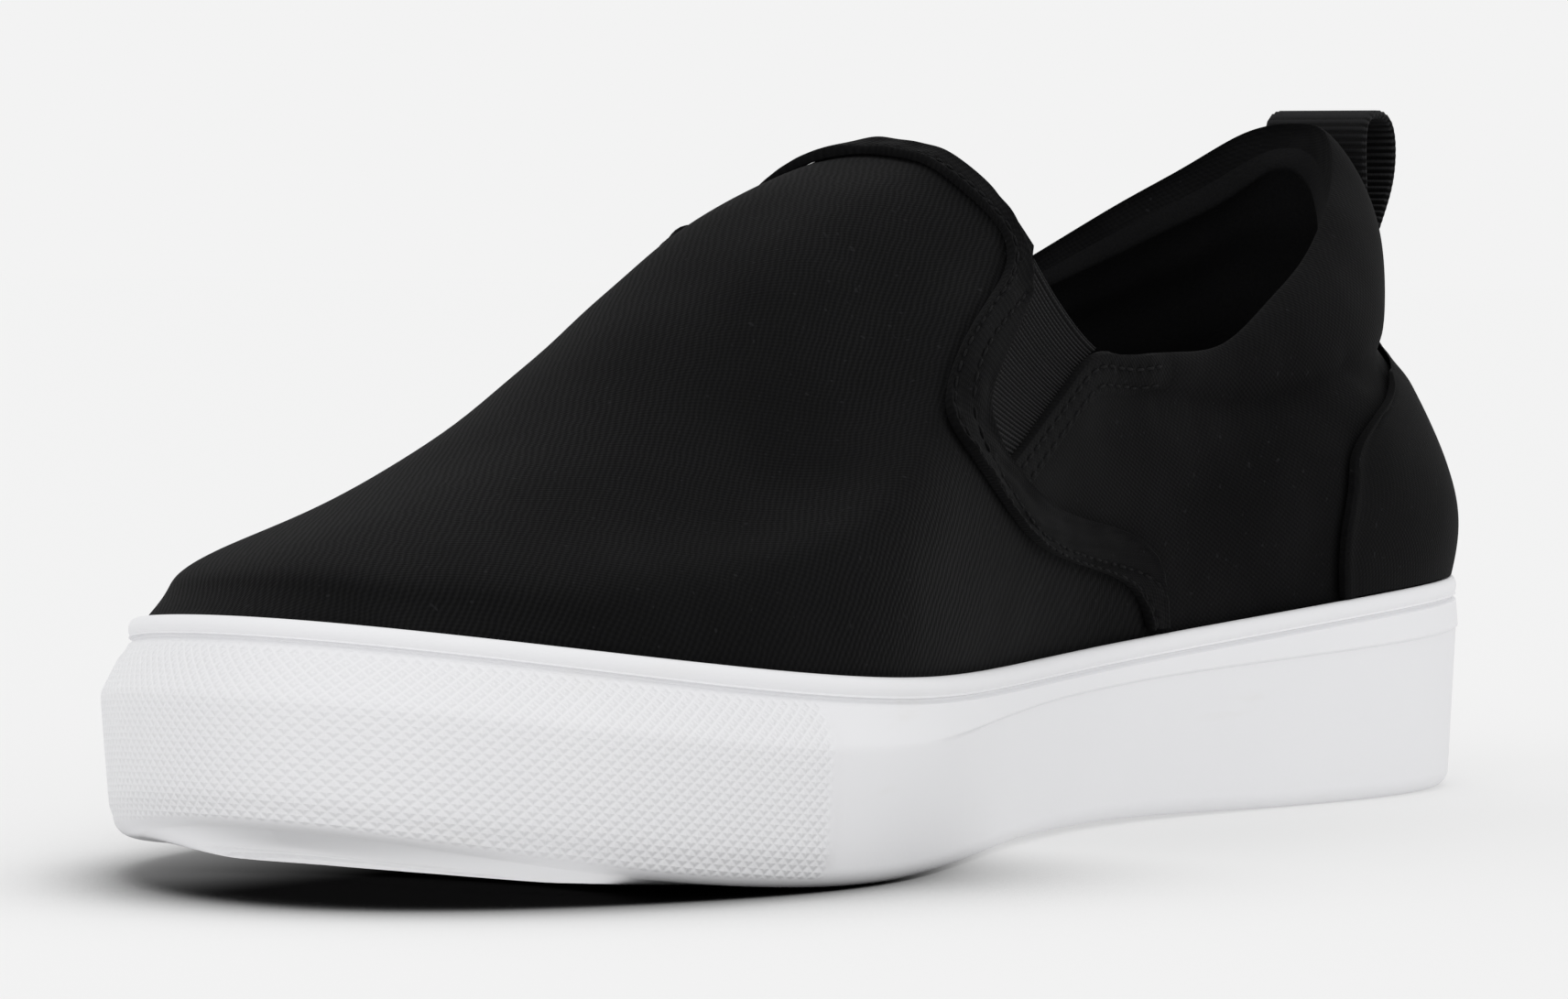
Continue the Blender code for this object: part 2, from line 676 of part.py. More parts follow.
def build_gore(name, side, material):
    front, rear = gore_edges(side, 12)
    t, h = between(front, rear, 5)
    h = np.minimum(h, 0.985)
    middle = -0.5 * CANVAS_WALL
    shell = Shell()
    sheet(shell, t, h, middle - 0.5 * GORE_THICKNESS, middle + 0.5 * GORE_THICKNESS)
    return shell.build(name, material)


def notch_cutter(side, material):
    """A block through the upper's wall, wider than the elastic by the gap all round."""
    front, rear = gore_edges(side, 12)
    ease = 2.7 * GAP
    t, h = between(front, rear, 5)
    point = upper_surface(t, h)
    width = np.linalg.norm(point[:, 0] - point[:, -1], axis=-1)
    more = (ease / width)[:, None] * (front[:, :1] - rear[:, :1])
    share = np.linspace(1, -1, 5)[None, :]
    t = t + more * share
    h[-1] -= 0.006
    low, high = lifted(t, h, -2.0 * CANVAS_WALL), lifted(t, h, 1.6 * CANVAS_WALL)
    shell = Shell()
    over = np.array([0, 0, 0.3 * QUARTER_HEIGHT])
    low = np.concatenate([low[:1] + over, low])
    high = np.concatenate([high[:1] + over, high])
    shape = low.shape[:2]
    first = np.array(shell.add(low.reshape(-1, 3))).reshape(shape)
    second = np.array(shell.add(high.reshape(-1, 3))).reshape(shape)
    rows, columns = shape
    for i in range(rows - 1):
        for j in range(columns - 1):
            for face in (first, second):
                corners = (face[i, j], face[i, j + 1], face[i + 1, j + 1], face[i + 1, j])
                shell.faces.append(tuple(int(c) for c in corners))
    edge = [(0, j) for j in range(columns - 1)]
    edge += [(i, columns - 1) for i in range(rows - 1)]
    edge += [(rows - 1, j) for j in range(columns - 1, 0, -1)]
    edge += [(i, 0) for i in range(rows - 1, 0, -1)]
    for k, place in enumerate(edge):
        after = edge[(k + 1) % len(edge)]
        shell.faces.append((int(first[place]), int(first[after]), int(second[after]), int(second[place])))
    return shell.build("notch_cutter", material)


def cut(thing, cutters):
    """Takes the cutters out of an object, and the cutters out of the scene."""
    for cutter in cutters:
        modifier = thing.modifiers.new("cut", "BOOLEAN")
        modifier.operation = "DIFFERENCE"
        modifier.solver = "EXACT"
        modifier.object = cutter
    bpy.context.view_layer.update()
    shape = bpy.data.meshes.new_from_object(thing.evaluated_get(bpy.context.evaluated_depsgraph_get()))
    thing.modifiers.clear()
    material = thing.data.materials[0]
    thing.data = shape
    thing.data.materials.clear()
    thing.data.materials.append(material)
    for cutter in cutters:
        bpy.data.objects.remove(cutter, do_unlink=True)
    tidy = bmesh.new()
    tidy.from_mesh(thing.data)
    bmesh.ops.remove_doubles(tidy, verts=tidy.verts, dist=1e-6)
    bmesh.ops.dissolve_degenerate(tidy, edges=tidy.edges, dist=1e-6)
    bmesh.ops.recalc_face_normals(tidy, faces=tidy.faces)
    tidy.to_mesh(thing.data)
    tidy.free()
    return thing


def build_binding(material):
    """The folded band: up one side, over the throat and down the other side."""
    rows = np.array(BAND)
    edges = []
    for side in (1, -1):
        front = open_spline(path_on_upper(rows[:, :2], side), 23)
        rear = open_spline(path_on_upper(rows[:, 2:], side), 23)
        edges.append(between(front, rear, 4))
    (near_t, near_h), (far_t, far_h) = edges
    throat = np.linspace(at_station(4.0), at_station(10.0), 20)
    slant = np.linalg.norm(TOP(throat) - climb_surface(throat, 0.9), axis=-1)
    width = 0.1 * THROAT_BAND_WIDTH / slant
    throat_h = 1 - width[:, None] * np.linspace(1, 0, 4)
    throat_t = np.repeat(throat[:, None], 4, axis=1)
    t = np.concatenate([near_t, throat_t, far_t[::-1]])
    h = np.concatenate([near_h, throat_h, far_h[::-1]])
    t, h = ease_rows(t), np.clip(ease_rows(h), 0, 1)
    shell = Shell()
    sheet(shell, t, h, GAP, GAP + BAND_THICKNESS)
    return shell.build("vamp_binding", material)


def ease_rows(rows):
    """Rounds off the two places where the band turns over the tab."""
    for _ in range(3):
        middle = 0.25 * rows[:-2] + 0.5 * rows[1:-1] + 0.25 * rows[2:]
        rows = np.concatenate([rows[:1], middle, rows[-1:]])
    return rows


def build_counter(material):
    up = np.array([0.022, 0.13, 0.26, 0.39, 0.52, 0.64, 0.75, 0.85, 0.93, 1.0])
    place = ring_weights(up, len(COUNTER_EDGE)) @ np.array([row[1] for row in COUNTER_EDGE])
    t = at_station(place)[:, None] * np.linspace(-1, 1, 29)
    h = up[:, None] * (crease_level(t) - 0.03)
    shell = Shell()
    sheet(shell, t, h, 1.3 * GAP, GAP + COUNTER_THICKNESS)
    return shell.build("heel_counter", material)


# The ribbon loop seen from the side, from where it leaves the collar round to where it comes back.
# back: share of LOOP_DEPTH behind the collar's back, up: share of LOOP_HEIGHT
LOOP_SHAPE = (
    (0.02, 0.00),
    (-0.04, 0.35),
    (-0.10, 0.70),
    (-0.02, 0.93),
    (0.30, 1.00),
    (0.70, 0.97),
    (0.92, 0.80),
    (0.88, 0.52),
    (0.60, 0.26),
    (0.22, 0.00),
)


def build_loop(material):
    heel = upper_surface(0.0, np.linspace(0.3, 1, 200))
    base = RIM_HEIGHTS[0] + 0.73 * HEEL_HEIGHT
    back = np.interp(base, heel[:, 2], heel[:, 0]) - GAP - 0.5 * RIBBON_THICKNESS
    line = open_spline([(back - b * LOOP_DEPTH, base + u * LOOP_HEIGHT) for b, u in LOOP_SHAPE], 34)
    run = np.gradient(line, axis=0)
    run /= np.linalg.norm(run, axis=1, keepdims=True)
    side = np.column_stack([-run[:, 1], run[:, 0]]) * 0.5 * RIBBON_THICKNESS
    rings = []
    shell = Shell()
    for across in (-0.5 * LOOP_WIDTH, 0.5 * LOOP_WIDTH):
        for edge in (line - side, line + side):
            points = np.column_stack([edge[:, 0], np.full(len(edge), across), edge[:, 1]])
            rings.append(shell.add(points))
    a, b, c, d = rings
    for first, second in ((a, b), (b, d), (d, c), (c, a)):
        shell.join(first, second, closed=False)
    for i in (0, -1):
        shell.faces.append((a[i], b[i], d[i], c[i]))
    return shell.build("pull_loop", material)


def build_insole(material):
    shell = Shell()
    inset = CANVAS_WALL + GAP
    floor = floor_height(FEATHER(COLUMNS)[:, 0]) + GAP
    ease = 0.17 * INSOLE_THICKNESS
    steps = ((inset, 0.0), (inset, INSOLE_THICKNESS - ease), (inset + ease, INSOLE_THICKNESS))
    rings = [shell.add(wall_ring(COLUMNS, -out, floor + up)) for out, up in steps]
    for lower, upper in zip(rings, rings[1:]):
        shell.join(lower, upper)
    points = np.array(shell.points)
    under = [shell.add(r) for r in rungs(points[rings[0]], 2, lambda a: floor_height(a) + GAP)]
    shell.ladder(rings[0], under)
    over = [
        shell.add(r)
        for r in rungs(points[rings[-1]], 2, lambda a: floor_height(a) + GAP + INSOLE_THICKNESS)
    ]
    shell.ladder(rings[-1], over)
    return shell.build("insole", material)


def main():
    for thing in list(bpy.data.objects):
        bpy.data.objects.remove(thing, do_unlink=True)
    rubber = paint("white_rubber", (0.80, 0.80, 0.82), 0.55)
    twill = paint("black_twill", (0.012, 0.012, 0.013), 0.85)
    binding = paint("black_binding", (0.014, 0.014, 0.015), 0.80)
    patch = paint("black_counter", (0.013, 0.013, 0.014), 0.82)
    elastic = paint("grey_elastic", (0.035, 0.035, 0.037), 0.80)
    ribbon = paint("black_ribbon", (0.010, 0.010, 0.011), 0.75)
    foam = paint("black_insole", (0.020, 0.020, 0.021), 0.90)
    things = [
        cut(build_sole(rubber), [groove_cutters(rubber)]),
        cut(build_upper(twill), [notch_cutter(1, twill), notch_cutter(-1, twill)]),
        build_gore("gore_left", 1, elastic),
        build_gore("gore_right", -1, elastic),
        build_binding(binding),
        build_counter(patch),
        build_loop(ribbon),
        build_insole(foam),
    ]
    centre_on_floor(things)


main()
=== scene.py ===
"""Looks of a slip-on sneaker, right foot, standing empty on a pale floor.

Lengths are in metres. `along` runs from the heel to the toe and `across` to the big toe side, both
from the middle of the heel; to_frame() turns them into the shoe's axes, with the toe to -Y. A place on
the upper is t, the share of the way round it, and h, the share of the way from the sole to its top
edge. The cloth is stretched over a last, so its panels are laid on that surface.
"""

import math

import bpy
import numpy as np
from mathutils import Matrix, Vector


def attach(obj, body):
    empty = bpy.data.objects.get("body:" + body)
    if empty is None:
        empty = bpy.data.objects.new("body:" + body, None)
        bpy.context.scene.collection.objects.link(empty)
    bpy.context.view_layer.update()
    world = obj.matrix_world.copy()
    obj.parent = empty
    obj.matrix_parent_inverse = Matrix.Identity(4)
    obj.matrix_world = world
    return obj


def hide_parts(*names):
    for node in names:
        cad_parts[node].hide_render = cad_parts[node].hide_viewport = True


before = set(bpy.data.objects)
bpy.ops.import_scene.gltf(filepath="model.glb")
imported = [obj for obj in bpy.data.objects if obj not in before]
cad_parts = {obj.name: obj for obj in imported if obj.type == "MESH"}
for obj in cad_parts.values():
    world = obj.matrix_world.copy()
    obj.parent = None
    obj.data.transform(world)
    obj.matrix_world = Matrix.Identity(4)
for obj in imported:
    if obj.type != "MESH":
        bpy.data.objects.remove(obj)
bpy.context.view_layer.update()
bpy.ops.object.select_all(action="DESELECT")

# Upper: the line where it leaves the sole, and its heights above that line
UPPER_LENGTH = 0.254
BALL_WIDTH = 0.092
HEEL_HEIGHT = 0.0660
QUARTER_HEIGHT = 0.0400
INSTEP_HEIGHT = 0.0674
COLLAR_LENGTH = 0.459 * UPPER_LENGTH
COLLAR_WIDTH = 0.652 * BALL_WIDTH
CANVAS_WALL = 0.0022
COLLAR_WALL = 0.0070
COLLAR_PAD_HEIGHT = 0.0260
COLLAR_PAD_BULGE = 0.0026
CREASE_DEPTH = 0.0007

# Sole: heights of its rim above the floor, and how far its side stands out from the upper
SOLE_HEIGHT = 0.0313
TOE_SPRING = 0.0125
ARCH_RISE = 0.0006
RIM_OUT = 0.0021
RIM_HEIGHT = 0.0031
GROOVE_DEPTH = 0.0006
GROOVE_WIDTH = 0.0008
CREST_DROP = 0.0090
SIDE_CREST_OUT = 0.0024
TOE_CREST_OUT = 0.0051
STEP_DEPTH = 0.0003
SIDE_TAPER = 0.0012
EDGE_RADIUS = 0.0025
BUMPER_RAISE = 0.0004
TREAD_DEPTH = 0.0016
TREAD_WIDTH = 0.0034
TOE_CROWN = 0.0016

# Other pieces
THROAT_BAND_WIDTH = 0.0050
BAND_THICKNESS = 0.0010
GORE_THICKNESS = 0.0012
COUNTER_THICKNESS = 0.0010
INSOLE_THICKNESS = 0.0035
LOOP_WIDTH = 0.0176
LOOP_HEIGHT = 0.0193
LOOP_DEPTH = 0.0085
RIBBON_THICKNESS = 0.0011
GAP = 0.0003

# Where the middle of the heel is in the shoe's own axes
HEEL_X = 0.0010578669607639313
HEEL_Y = 0.12652622698806226

# Cloth and thread
TWILL_PITCH = 0.00085
STITCH_PITCH = 0.0027
BAND_LUMPS = 0.00016
STITCH_LENGTH = 0.0019
THREAD_RADIUS = 0.00019
EDGE_ROUND = 0.0006
RIB_PITCH = 0.00105
ELASTIC_RIB = 0.00080

# How finely the pieces are made
ROUND_UPPER = 560
ROUND_SOLE = 720

# Stations round the upper, from the heel over the big toe side to the toe and back
STATIONS = (
    # name            along   across    rim
    ("heel_back",     0.000,  0.000,  1.000),
    ("heel_in_bend",  0.029,  0.258,  0.990),
    ("heel_in",       0.150,  0.352,  0.945),
    ("waist_in",      0.413,  0.280,  0.790),
    ("ball_in",       0.712,  0.485,  0.805),
    ("fore_in",       0.832,  0.445,  0.895),
    ("toe_in",        0.958,  0.260,  1.040),
    ("toe_tip",       0.998,  0.050,  1.095),
    ("toe_out",       0.938, -0.310,  1.030),
    ("fore_out",      0.812, -0.485,  0.890),
    ("ball_out",      0.650, -0.510,  0.800),
    ("waist_out",     0.394, -0.380,  0.800),
    ("heel_out",      0.150, -0.359,  0.945),
    ("heel_out_bend", 0.032, -0.252,  0.990),
)

# The top edge of the upper, at a place between stations
TOPLINE = (
    # at      along  across  up     height
    (0.00,  0.082,  0.000, 1.000, "heel"),
    (0.60,  0.108,  0.120, 0.976, "heel"),
    (1.10,  0.175,  0.215, 0.896, "heel"),
    (1.50,  0.270,  0.305, 0.806, "heel"),
    (1.85,  0.385,  0.380, 0.702, "heel"),
    (2.15,  0.500,  0.425, 0.617, "heel"),
    (2.50,  0.640,  0.455, 1.020, "quarter"),
    (2.85,  0.780,  0.478, 0.995, "quarter"),
    (3.20,  0.915,  0.505, 0.990, "quarter"),
    (3.45,  0.985,  0.512, 1.080, "quarter"),
    (3.75,  1.070,  0.480, 0.798, "instep"),
    (4.40,  1.075,  0.385, 0.900, "instep"),
    (5.20,  1.045,  0.245, 0.962, "instep"),
    (6.20,  1.015,  0.100, 0.992, "instep"),
    (7.00,  1.005,  0.000, 1.000, "instep"),
    (7.80,  1.015, -0.100, 0.992, "instep"),
    (8.80,  1.040, -0.230, 0.938, "instep"),
    (9.60,  1.065, -0.365, 0.848, "instep"),
    (10.25, 1.070, -0.465, 0.788, "instep"),
    (10.55, 0.985, -0.512, 1.080, "quarter"),
    (10.80, 0.915, -0.505, 0.990, "quarter"),
    (11.15, 0.780, -0.478, 0.995, "quarter"),
    (11.50, 0.640, -0.455, 1.020, "quarter"),
    (11.85, 0.500, -0.425, 0.617, "heel"),
    (12.15, 0.385, -0.380, 0.702, "heel"),
    (12.50, 0.270, -0.305, 0.806, "heel"),
    (12.90, 0.175, -0.215, 0.896, "heel"),
    (13.40, 0.108, -0.120, 0.976, "heel"),
)

# How the upper climbs: the share of the way in and up and how far it stands out, at four heights
CLIMBS = {
    "back":    ((0.00, 0.17, 0.25), (0.12, 0.38, -0.30), (0.42, 0.58, -0.30), (0.66, 0.82, 0.15)),
    "heel":    ((0.00, 0.17, 0.30), (0.20, 0.38, -0.30), (0.52, 0.58, -0.25), (0.74, 0.82, 0.20)),
    "quarter": ((0.00, 0.21, 0.80), (0.10, 0.42, 1.20), (0.38, 0.64, 0.90), (0.70, 0.84, 0.30)),
    "ball":    ((0.03, 0.17, 0.50), (0.13, 0.36, 0.60), (0.38, 0.55, 0.20), (0.70, 0.79, 0.20)),
    "fore":    ((0.03, 0.10, 0.20), (0.13, 0.22, 0.10), (0.40, 0.39, 0.00), (0.73, 0.75, 0.00)),
    "toe":     ((0.03, 0.06, 0.00), (0.10, 0.14, 0.00), (0.40, 0.37, 0.00), (0.73, 0.79, 0.00)),
}
STATION_CLIMB = (
    "back", "heel", "quarter", "quarter", "ball", "fore", "toe", "toe",
    "toe", "fore", "ball", "quarter", "quarter", "heel",
)

# Height of the padded roll under the top edge, and how thick the edge is there
COLLAR = (
    # at     roll   thick
    (0.00,  1.00,  1.00),
    (1.00,  0.92,  1.00),
    (1.50,  0.78,  0.88),
    (2.00,  0.50,  0.58),
    (2.50,  0.30,  0.52),
    (3.00,  0.18,  0.40),
    (3.30,  0.05,  0.32),
    (5.00,  0.04,  0.32),
    (7.00,  0.04,  0.32),
    (9.00,  0.04,  0.32),
    (10.70, 0.05,  0.32),
    (11.00, 0.18,  0.40),
    (11.50, 0.30,  0.52),
    (12.00, 0.50,  0.58),
    (12.50, 0.78,  0.88),
    (13.00, 0.92,  1.00),
)

# Edges of the folded band along the vamp, from the sole to the tab, as places round and heights
BAND = (
    # front        rear
    (2.82, 0.027, 2.76, 0.031),
    (2.86, 0.120, 2.78, 0.134),
    (2.93, 0.210, 2.82, 0.252),
    (3.03, 0.267, 2.91, 0.356),
    (3.16, 0.302, 3.05, 0.426),
    (3.33, 0.351, 3.20, 0.460),
    (3.52, 0.415, 3.39, 0.479),
    (3.71, 0.473, 3.57, 0.504),
    (3.92, 0.557, 3.72, 0.549),
    (4.14, 0.645, 3.80, 0.620),
    (4.17, 0.711, 3.79, 0.703),
    (4.05, 0.775, 3.75, 0.800),
    (3.92, 0.853, 3.72, 0.897),
    (3.88, 0.938, 3.74, 0.974),
)
# Edges of the elastic, from its straight top edge down to its narrow foot
GORE = (
    # front        rear
    (3.75, 1.000, 3.35, 1.000),
    (3.72, 0.899, 3.40, 0.908),
    (3.75, 0.800, 3.44, 0.794),
    (3.79, 0.703, 3.49, 0.680),
    (3.79, 0.622, 3.53, 0.601),
    (3.71, 0.551, 3.57, 0.540),
    (3.64, 0.517, 3.60, 0.509),
)
# The quarter's edge beside the elastic, round the top corner and back along the top
HEM = (
    # place  height
    (3.60, 0.509),
    (3.57, 0.540),
    (3.53, 0.601),
    (3.49, 0.680),
    (3.44, 0.794),
    (3.41, 0.870),
    (3.375, 0.925),
    (3.33, 0.962),
    (3.27, 0.985),
    (3.19, 0.997),
    (3.10, 1.000),
    (2.98, 1.000),
    (2.86, 1.000),
)
# Side edge of the heel counter. up: share of the way to the crease under the collar
COUNTER_EDGE = (
    # up    place
    (0.00, 2.18),
    (0.20, 2.21),
    (0.40, 2.22),
    (0.60, 2.20),
    (0.80, 2.08),
    (1.00, 1.58),
)

# Curved grooves between the tread lugs
TREAD_GROOVES = (
    # along reach middle bow
    (0.060, 0.19, 0.00, 0.030),
    (0.110, 0.23, 0.00, 0.030),
    (0.160, 0.25, 0.00, 0.030),
    (0.210, 0.25, -0.01, 0.030),
    (0.560, 0.33, -0.04, 0.030),
    (0.610, 0.37, -0.03, 0.030),
    (0.660, 0.39, -0.02, 0.030),
    (0.710, 0.39, -0.01, 0.030),
    (0.760, 0.38, -0.01, 0.032),
    (0.810, 0.36, -0.01, 0.034),
    (0.860, 0.31, -0.01, 0.036),
    (0.910, 0.23, 0.00, 0.038),
)

# Soft troughs (positive depth) and ridges (negative) in the cloth, from one place to another
FOLDS = (
    # from            to          width   depth
    (3.30, 0.27, 4.10, 0.33, 0.0060, 0.0003),
    (3.70, 0.40, 4.30, 0.52, 0.0050, 0.00024),
    (4.50, 0.62, 4.90, 0.84, 0.0070, 0.00024),
    (4.30, 0.20, 5.20, 0.26, 0.0080, 0.00024),
    (4.00, 0.12, 4.70, 0.13, 0.0060, -0.00018),
    (5.30, 0.42, 5.60, 0.62, 0.0100, 0.00024),
    (5.90, 0.30, 7.20, 0.33, 0.0090, 0.00018),
    (2.95, 0.93, 2.70, 0.62, 0.0035, 0.00024),
    (2.62, 0.60, 2.85, 0.40, 0.0055, 0.00024),
    (2.40, 0.52, 2.48, 0.22, 0.0060, -0.00018),
    (3.25, 0.72, 3.00, 0.56, 0.0050, 0.00018),
    (1.95, 0.95, 2.10, 0.80, 0.0040, 0.00018),
    (1.20, 0.97, 1.45, 0.78, 0.0050, 0.00018),
    (0.55, 0.96, 0.75, 0.74, 0.0050, 0.00018),
    (11.20, 0.70, 11.40, 0.30, 0.0060, 0.00024),
    (10.20, 0.30, 9.40, 0.34, 0.0070, 0.0003),
    (9.30, 0.55, 8.90, 0.80, 0.0080, 0.00024),
    (12.60, 0.95, 12.30, 0.76, 0.0050, 0.00018),
    (13.30, 0.95, 13.10, 0.74, 0.0050, 0.00018),
)


def periodic_spline(knots, values):
    """A smooth closed curve through the values at the knots; knots run from 0 to just under 1."""
    knots = np.append(knots, 1.0)
    values = np.asarray(values, float)
    values = np.vstack([values, values[:1]])
    count = len(knots) - 1
    step = np.diff(knots)
    slope = np.diff(values, axis=0) / step[:, None]
    matrix = np.zeros((count, count))
    right = np.zeros((count, values.shape[1]))
    for i in range(count):
        before, after = (i - 1) % count, (i + 1) % count
        matrix[i, before] += step[before]
        matrix[i, i] += 2 * (step[before] + step[i])
        matrix[i, after] += step[i]
        right[i] = 6 * (slope[i] - slope[before])
    bend = np.linalg.solve(matrix, right)
    bend = np.vstack([bend, bend[:1]])

    def curve(t):
        t = np.mod(np.asarray(t, float), 1.0)
        i = np.clip(np.searchsorted(knots, t, side="right") - 1, 0, count - 1)
        gap = step[i][..., None]
        b = (t - knots[i])[..., None] / gap
        a = 1 - b
        return (
            a * values[i]
            + b * values[i + 1]
            + ((a**3 - a) * bend[i] + (b**3 - b) * bend[i + 1]) * gap**2 / 6
        )

    return curve


def ring_weights(h, count):
    """Weights of a natural cubic spline through `count` evenly spaced rings, at heights h from 0 to 1."""
    matrix = np.eye(count)
    right = np.zeros((count, count))
    for i in range(1, count - 1):
        matrix[i, i - 1 : i + 2] = (1, 4, 1)
        right[i, i - 1 : i + 2] = (6, -12, 6)
    bend = np.linalg.solve(matrix, right)
    x = np.asarray(h, float) * (count - 1)
    i = np.clip(np.floor(x).astype(int), 0, count - 2)
    b = (x - i)[..., None]
    a = 1 - b
    eye = np.eye(count)
    return a * eye[i] + b * eye[i + 1] + ((a**3 - a) * bend[i] + (b**3 - b) * bend[i + 1]) / 6


def smooth_step(x, low, high):
    s = np.clip((np.asarray(x, float) - low) / (high - low), 0, 1)
    return s * s * (3 - 2 * s)


def bell(x, width):
    return np.exp(-((np.asarray(x, float) / width) ** 2))


# The surface of the last, as the solids have it
OUTLINE_POINTS = np.array([(s[1] * UPPER_LENGTH, s[2] * BALL_WIDTH) for s in STATIONS])
SPACING = np.linalg.norm(np.roll(OUTLINE_POINTS, -1, axis=0) - OUTLINE_POINTS, axis=1) ** 0.6
STATION_T = np.concatenate([[0.0], np.cumsum(SPACING)[:-1]]) / SPACING.sum()
TOE_T = STATION_T[7]
RIM_HEIGHTS = np.array([s[3] * SOLE_HEIGHT for s in STATIONS])
FEATHER = periodic_spline(STATION_T, np.column_stack([OUTLINE_POINTS, RIM_HEIGHTS]))


def at_station(place):
    """The share of the way round, t, for a place counted in stations."""
    return np.interp(place, np.arange(len(STATION_T) + 1), np.append(STATION_T, 1.0))


def topline_points():
    base = {"heel": RIM_HEIGHTS[0], "quarter": RIM_HEIGHTS[3], "instep": RIM_HEIGHTS[3]}
    tall = {"heel": HEEL_HEIGHT, "quarter": QUARTER_HEIGHT, "instep": INSTEP_HEIGHT}
    return [
        (along * COLLAR_LENGTH, across * COLLAR_WIDTH, base[name] + up * tall[name])
        for _, along, across, up, name in TOPLINE
    ]


TOP = periodic_spline(at_station([row[0] for row in TOPLINE]), topline_points())
CLIMB = periodic_spline(STATION_T, [np.ravel(CLIMBS[name]) for name in STATION_CLIMB])


def outward(t):
    """Unit vector in plan, square to the feather line and pointing away from the shoe."""
    step = 1e-4
    run = (FEATHER(t + step) - FEATHER(t - step))[..., :2]
    normal = np.stack([run[..., 1], -run[..., 0]], axis=-1)
    return normal / np.linalg.norm(normal, axis=-1, keepdims=True) * OUT_SIGN


OUT_SIGN = 1.0
OUT_SIGN = -1.0 if outward(np.array([0.0]))[0, 0] > 0 else 1.0


def climb_surface(t, h):
    """The upper's smooth outer surface, without padding."""
    foot, top = FEATHER(t), TOP(t)
    out = outward(t)
    climb = CLIMB(t)
    rings = [foot]
    for k in range(4):
        way_in, way_up, stand = (climb[..., 3 * k + j] for j in range(3))
        ring = foot + (top - foot) * np.stack([way_in, way_in, way_up], axis=-1)
        ring[..., :2] += out * (stand * CANVAS_WALL)[..., None]
        rings.append(ring)
    rings.append(top)
    weights = ring_weights(h, len(rings))
    return sum(weights[..., k, None] * ring for k, ring in enumerate(rings))


def collar(t, column):
    places = at_station([row[0] for row in COLLAR] + [len(STATION_T)])
    values = [row[column] for row in COLLAR] + [COLLAR[0][column]]
    return np.interp(np.mod(t, 1.0), places, values)


def square_to(surface, t, h, step=1e-3):
    """Unit vector square to a surface of t and h, pointing out of the shoe."""
    low, high = np.clip(h - step, 0, 1), np.clip(h + step, 0, 1)
    around = surface(t + step, h) - surface(t - step, h)
    upward = surface(t, high) - surface(t, low)
    normal = np.cross(around, upward) * OUT_SIGN
    return normal / np.maximum(np.linalg.norm(normal, axis=-1, keepdims=True), 1e-12)


def padding(t, h):
    """How far the padded collar swells out, with the crease under it."""
    surface = climb_surface(t, h)
    top = TOP(t)[..., 2]
    roll = collar(t, 1) * COLLAR_PAD_HEIGHT
    depth = (top - surface[..., 2]) / np.maximum(roll, 0.01 * COLLAR_PAD_HEIGHT)
    full = smooth_step(collar(t, 1), 0.05, 0.45)
    swell = np.sin(np.pi * np.clip(depth, 0, 1) ** 0.8) ** 0.8 * COLLAR_PAD_BULGE
    crease = np.exp(-(((depth - 1.05) / 0.20) ** 2)) * CREASE_DEPTH
    return full * (swell - crease)


def upper_surface(t, h):
    """The upper's outer surface."""
    t, h = np.broadcast_arrays(np.asarray(t, float), np.asarray(h, float))
    return climb_surface(t, h) + square_to(climb_surface, t, h) * padding(t, h)[..., None]


def lifted(t, h, lift):
    """A point held `lift` outside the upper's surface."""
    t, h = np.broadcast_arrays(np.asarray(t, float), np.asarray(h, float))
    lift = np.asarray(lift, float)[..., None]
    return upper_surface(t, h) + square_to(upper_surface, t, h) * lift


def crease_level(t):
    """The h of the crease under the padded collar, or of a middle row where there is no padding."""
    t = np.asarray(t, float)
    levels = np.linspace(0.3, 0.95, 66)
    heights = climb_surface(t[..., None], levels)[..., 2].reshape(-1, 66)
    want = (TOP(t)[..., 2] - 1.05 * collar(t, 1) * COLLAR_PAD_HEIGHT).ravel()
    level = [np.interp(w, row, levels) for w, row in zip(want, heights)]
    full = smooth_step(collar(t, 1), 0.05, 0.30)
    return 0.60 + (np.reshape(level, t.shape) - 0.60) * full


def upper_wall(t, h):
    """Thickness of the upper: full in the padded roll, thin below it, rounded off at the top edge."""
    roll = collar(t, 1) * COLLAR_PAD_HEIGHT
    edge = np.maximum(collar(t, 2) * COLLAR_WALL, CANVAS_WALL)
    depth = TOP(t)[..., 2] - climb_surface(t, h)[..., 2]
    reach = np.linalg.norm(TOP(t) - climb_surface(t, h), axis=-1)
    pad = 1 - smooth_step(depth / np.maximum(roll, 0.04 * COLLAR_PAD_HEIGHT), 0.55, 1.10)
    wall = CANVAS_WALL + (edge - CANVAS_WALL) * pad
    round_off = np.clip(reach / (0.5 * edge), 0, 1)
    return wall * np.sqrt(1 - (1 - round_off) ** 2)


def path_on_upper(rows, side):
    """The t and h of a path's rows, which are given for the big toe side."""
    rows = np.asarray(rows, float)
    place = rows[:, 0] if side > 0 else len(STATION_T) - rows[:, 0]
    return np.column_stack([at_station(place), rows[:, 1]])


def lengths(points, axis=0):
    """Distance run along a line of points, or along one axis of a grid of them."""
    steps = np.linalg.norm(np.diff(points, axis=axis), axis=-1)
    start = np.zeros_like(np.take(steps, [0], axis=axis))
    return np.concatenate([start, np.cumsum(steps, axis=axis)], axis=axis)


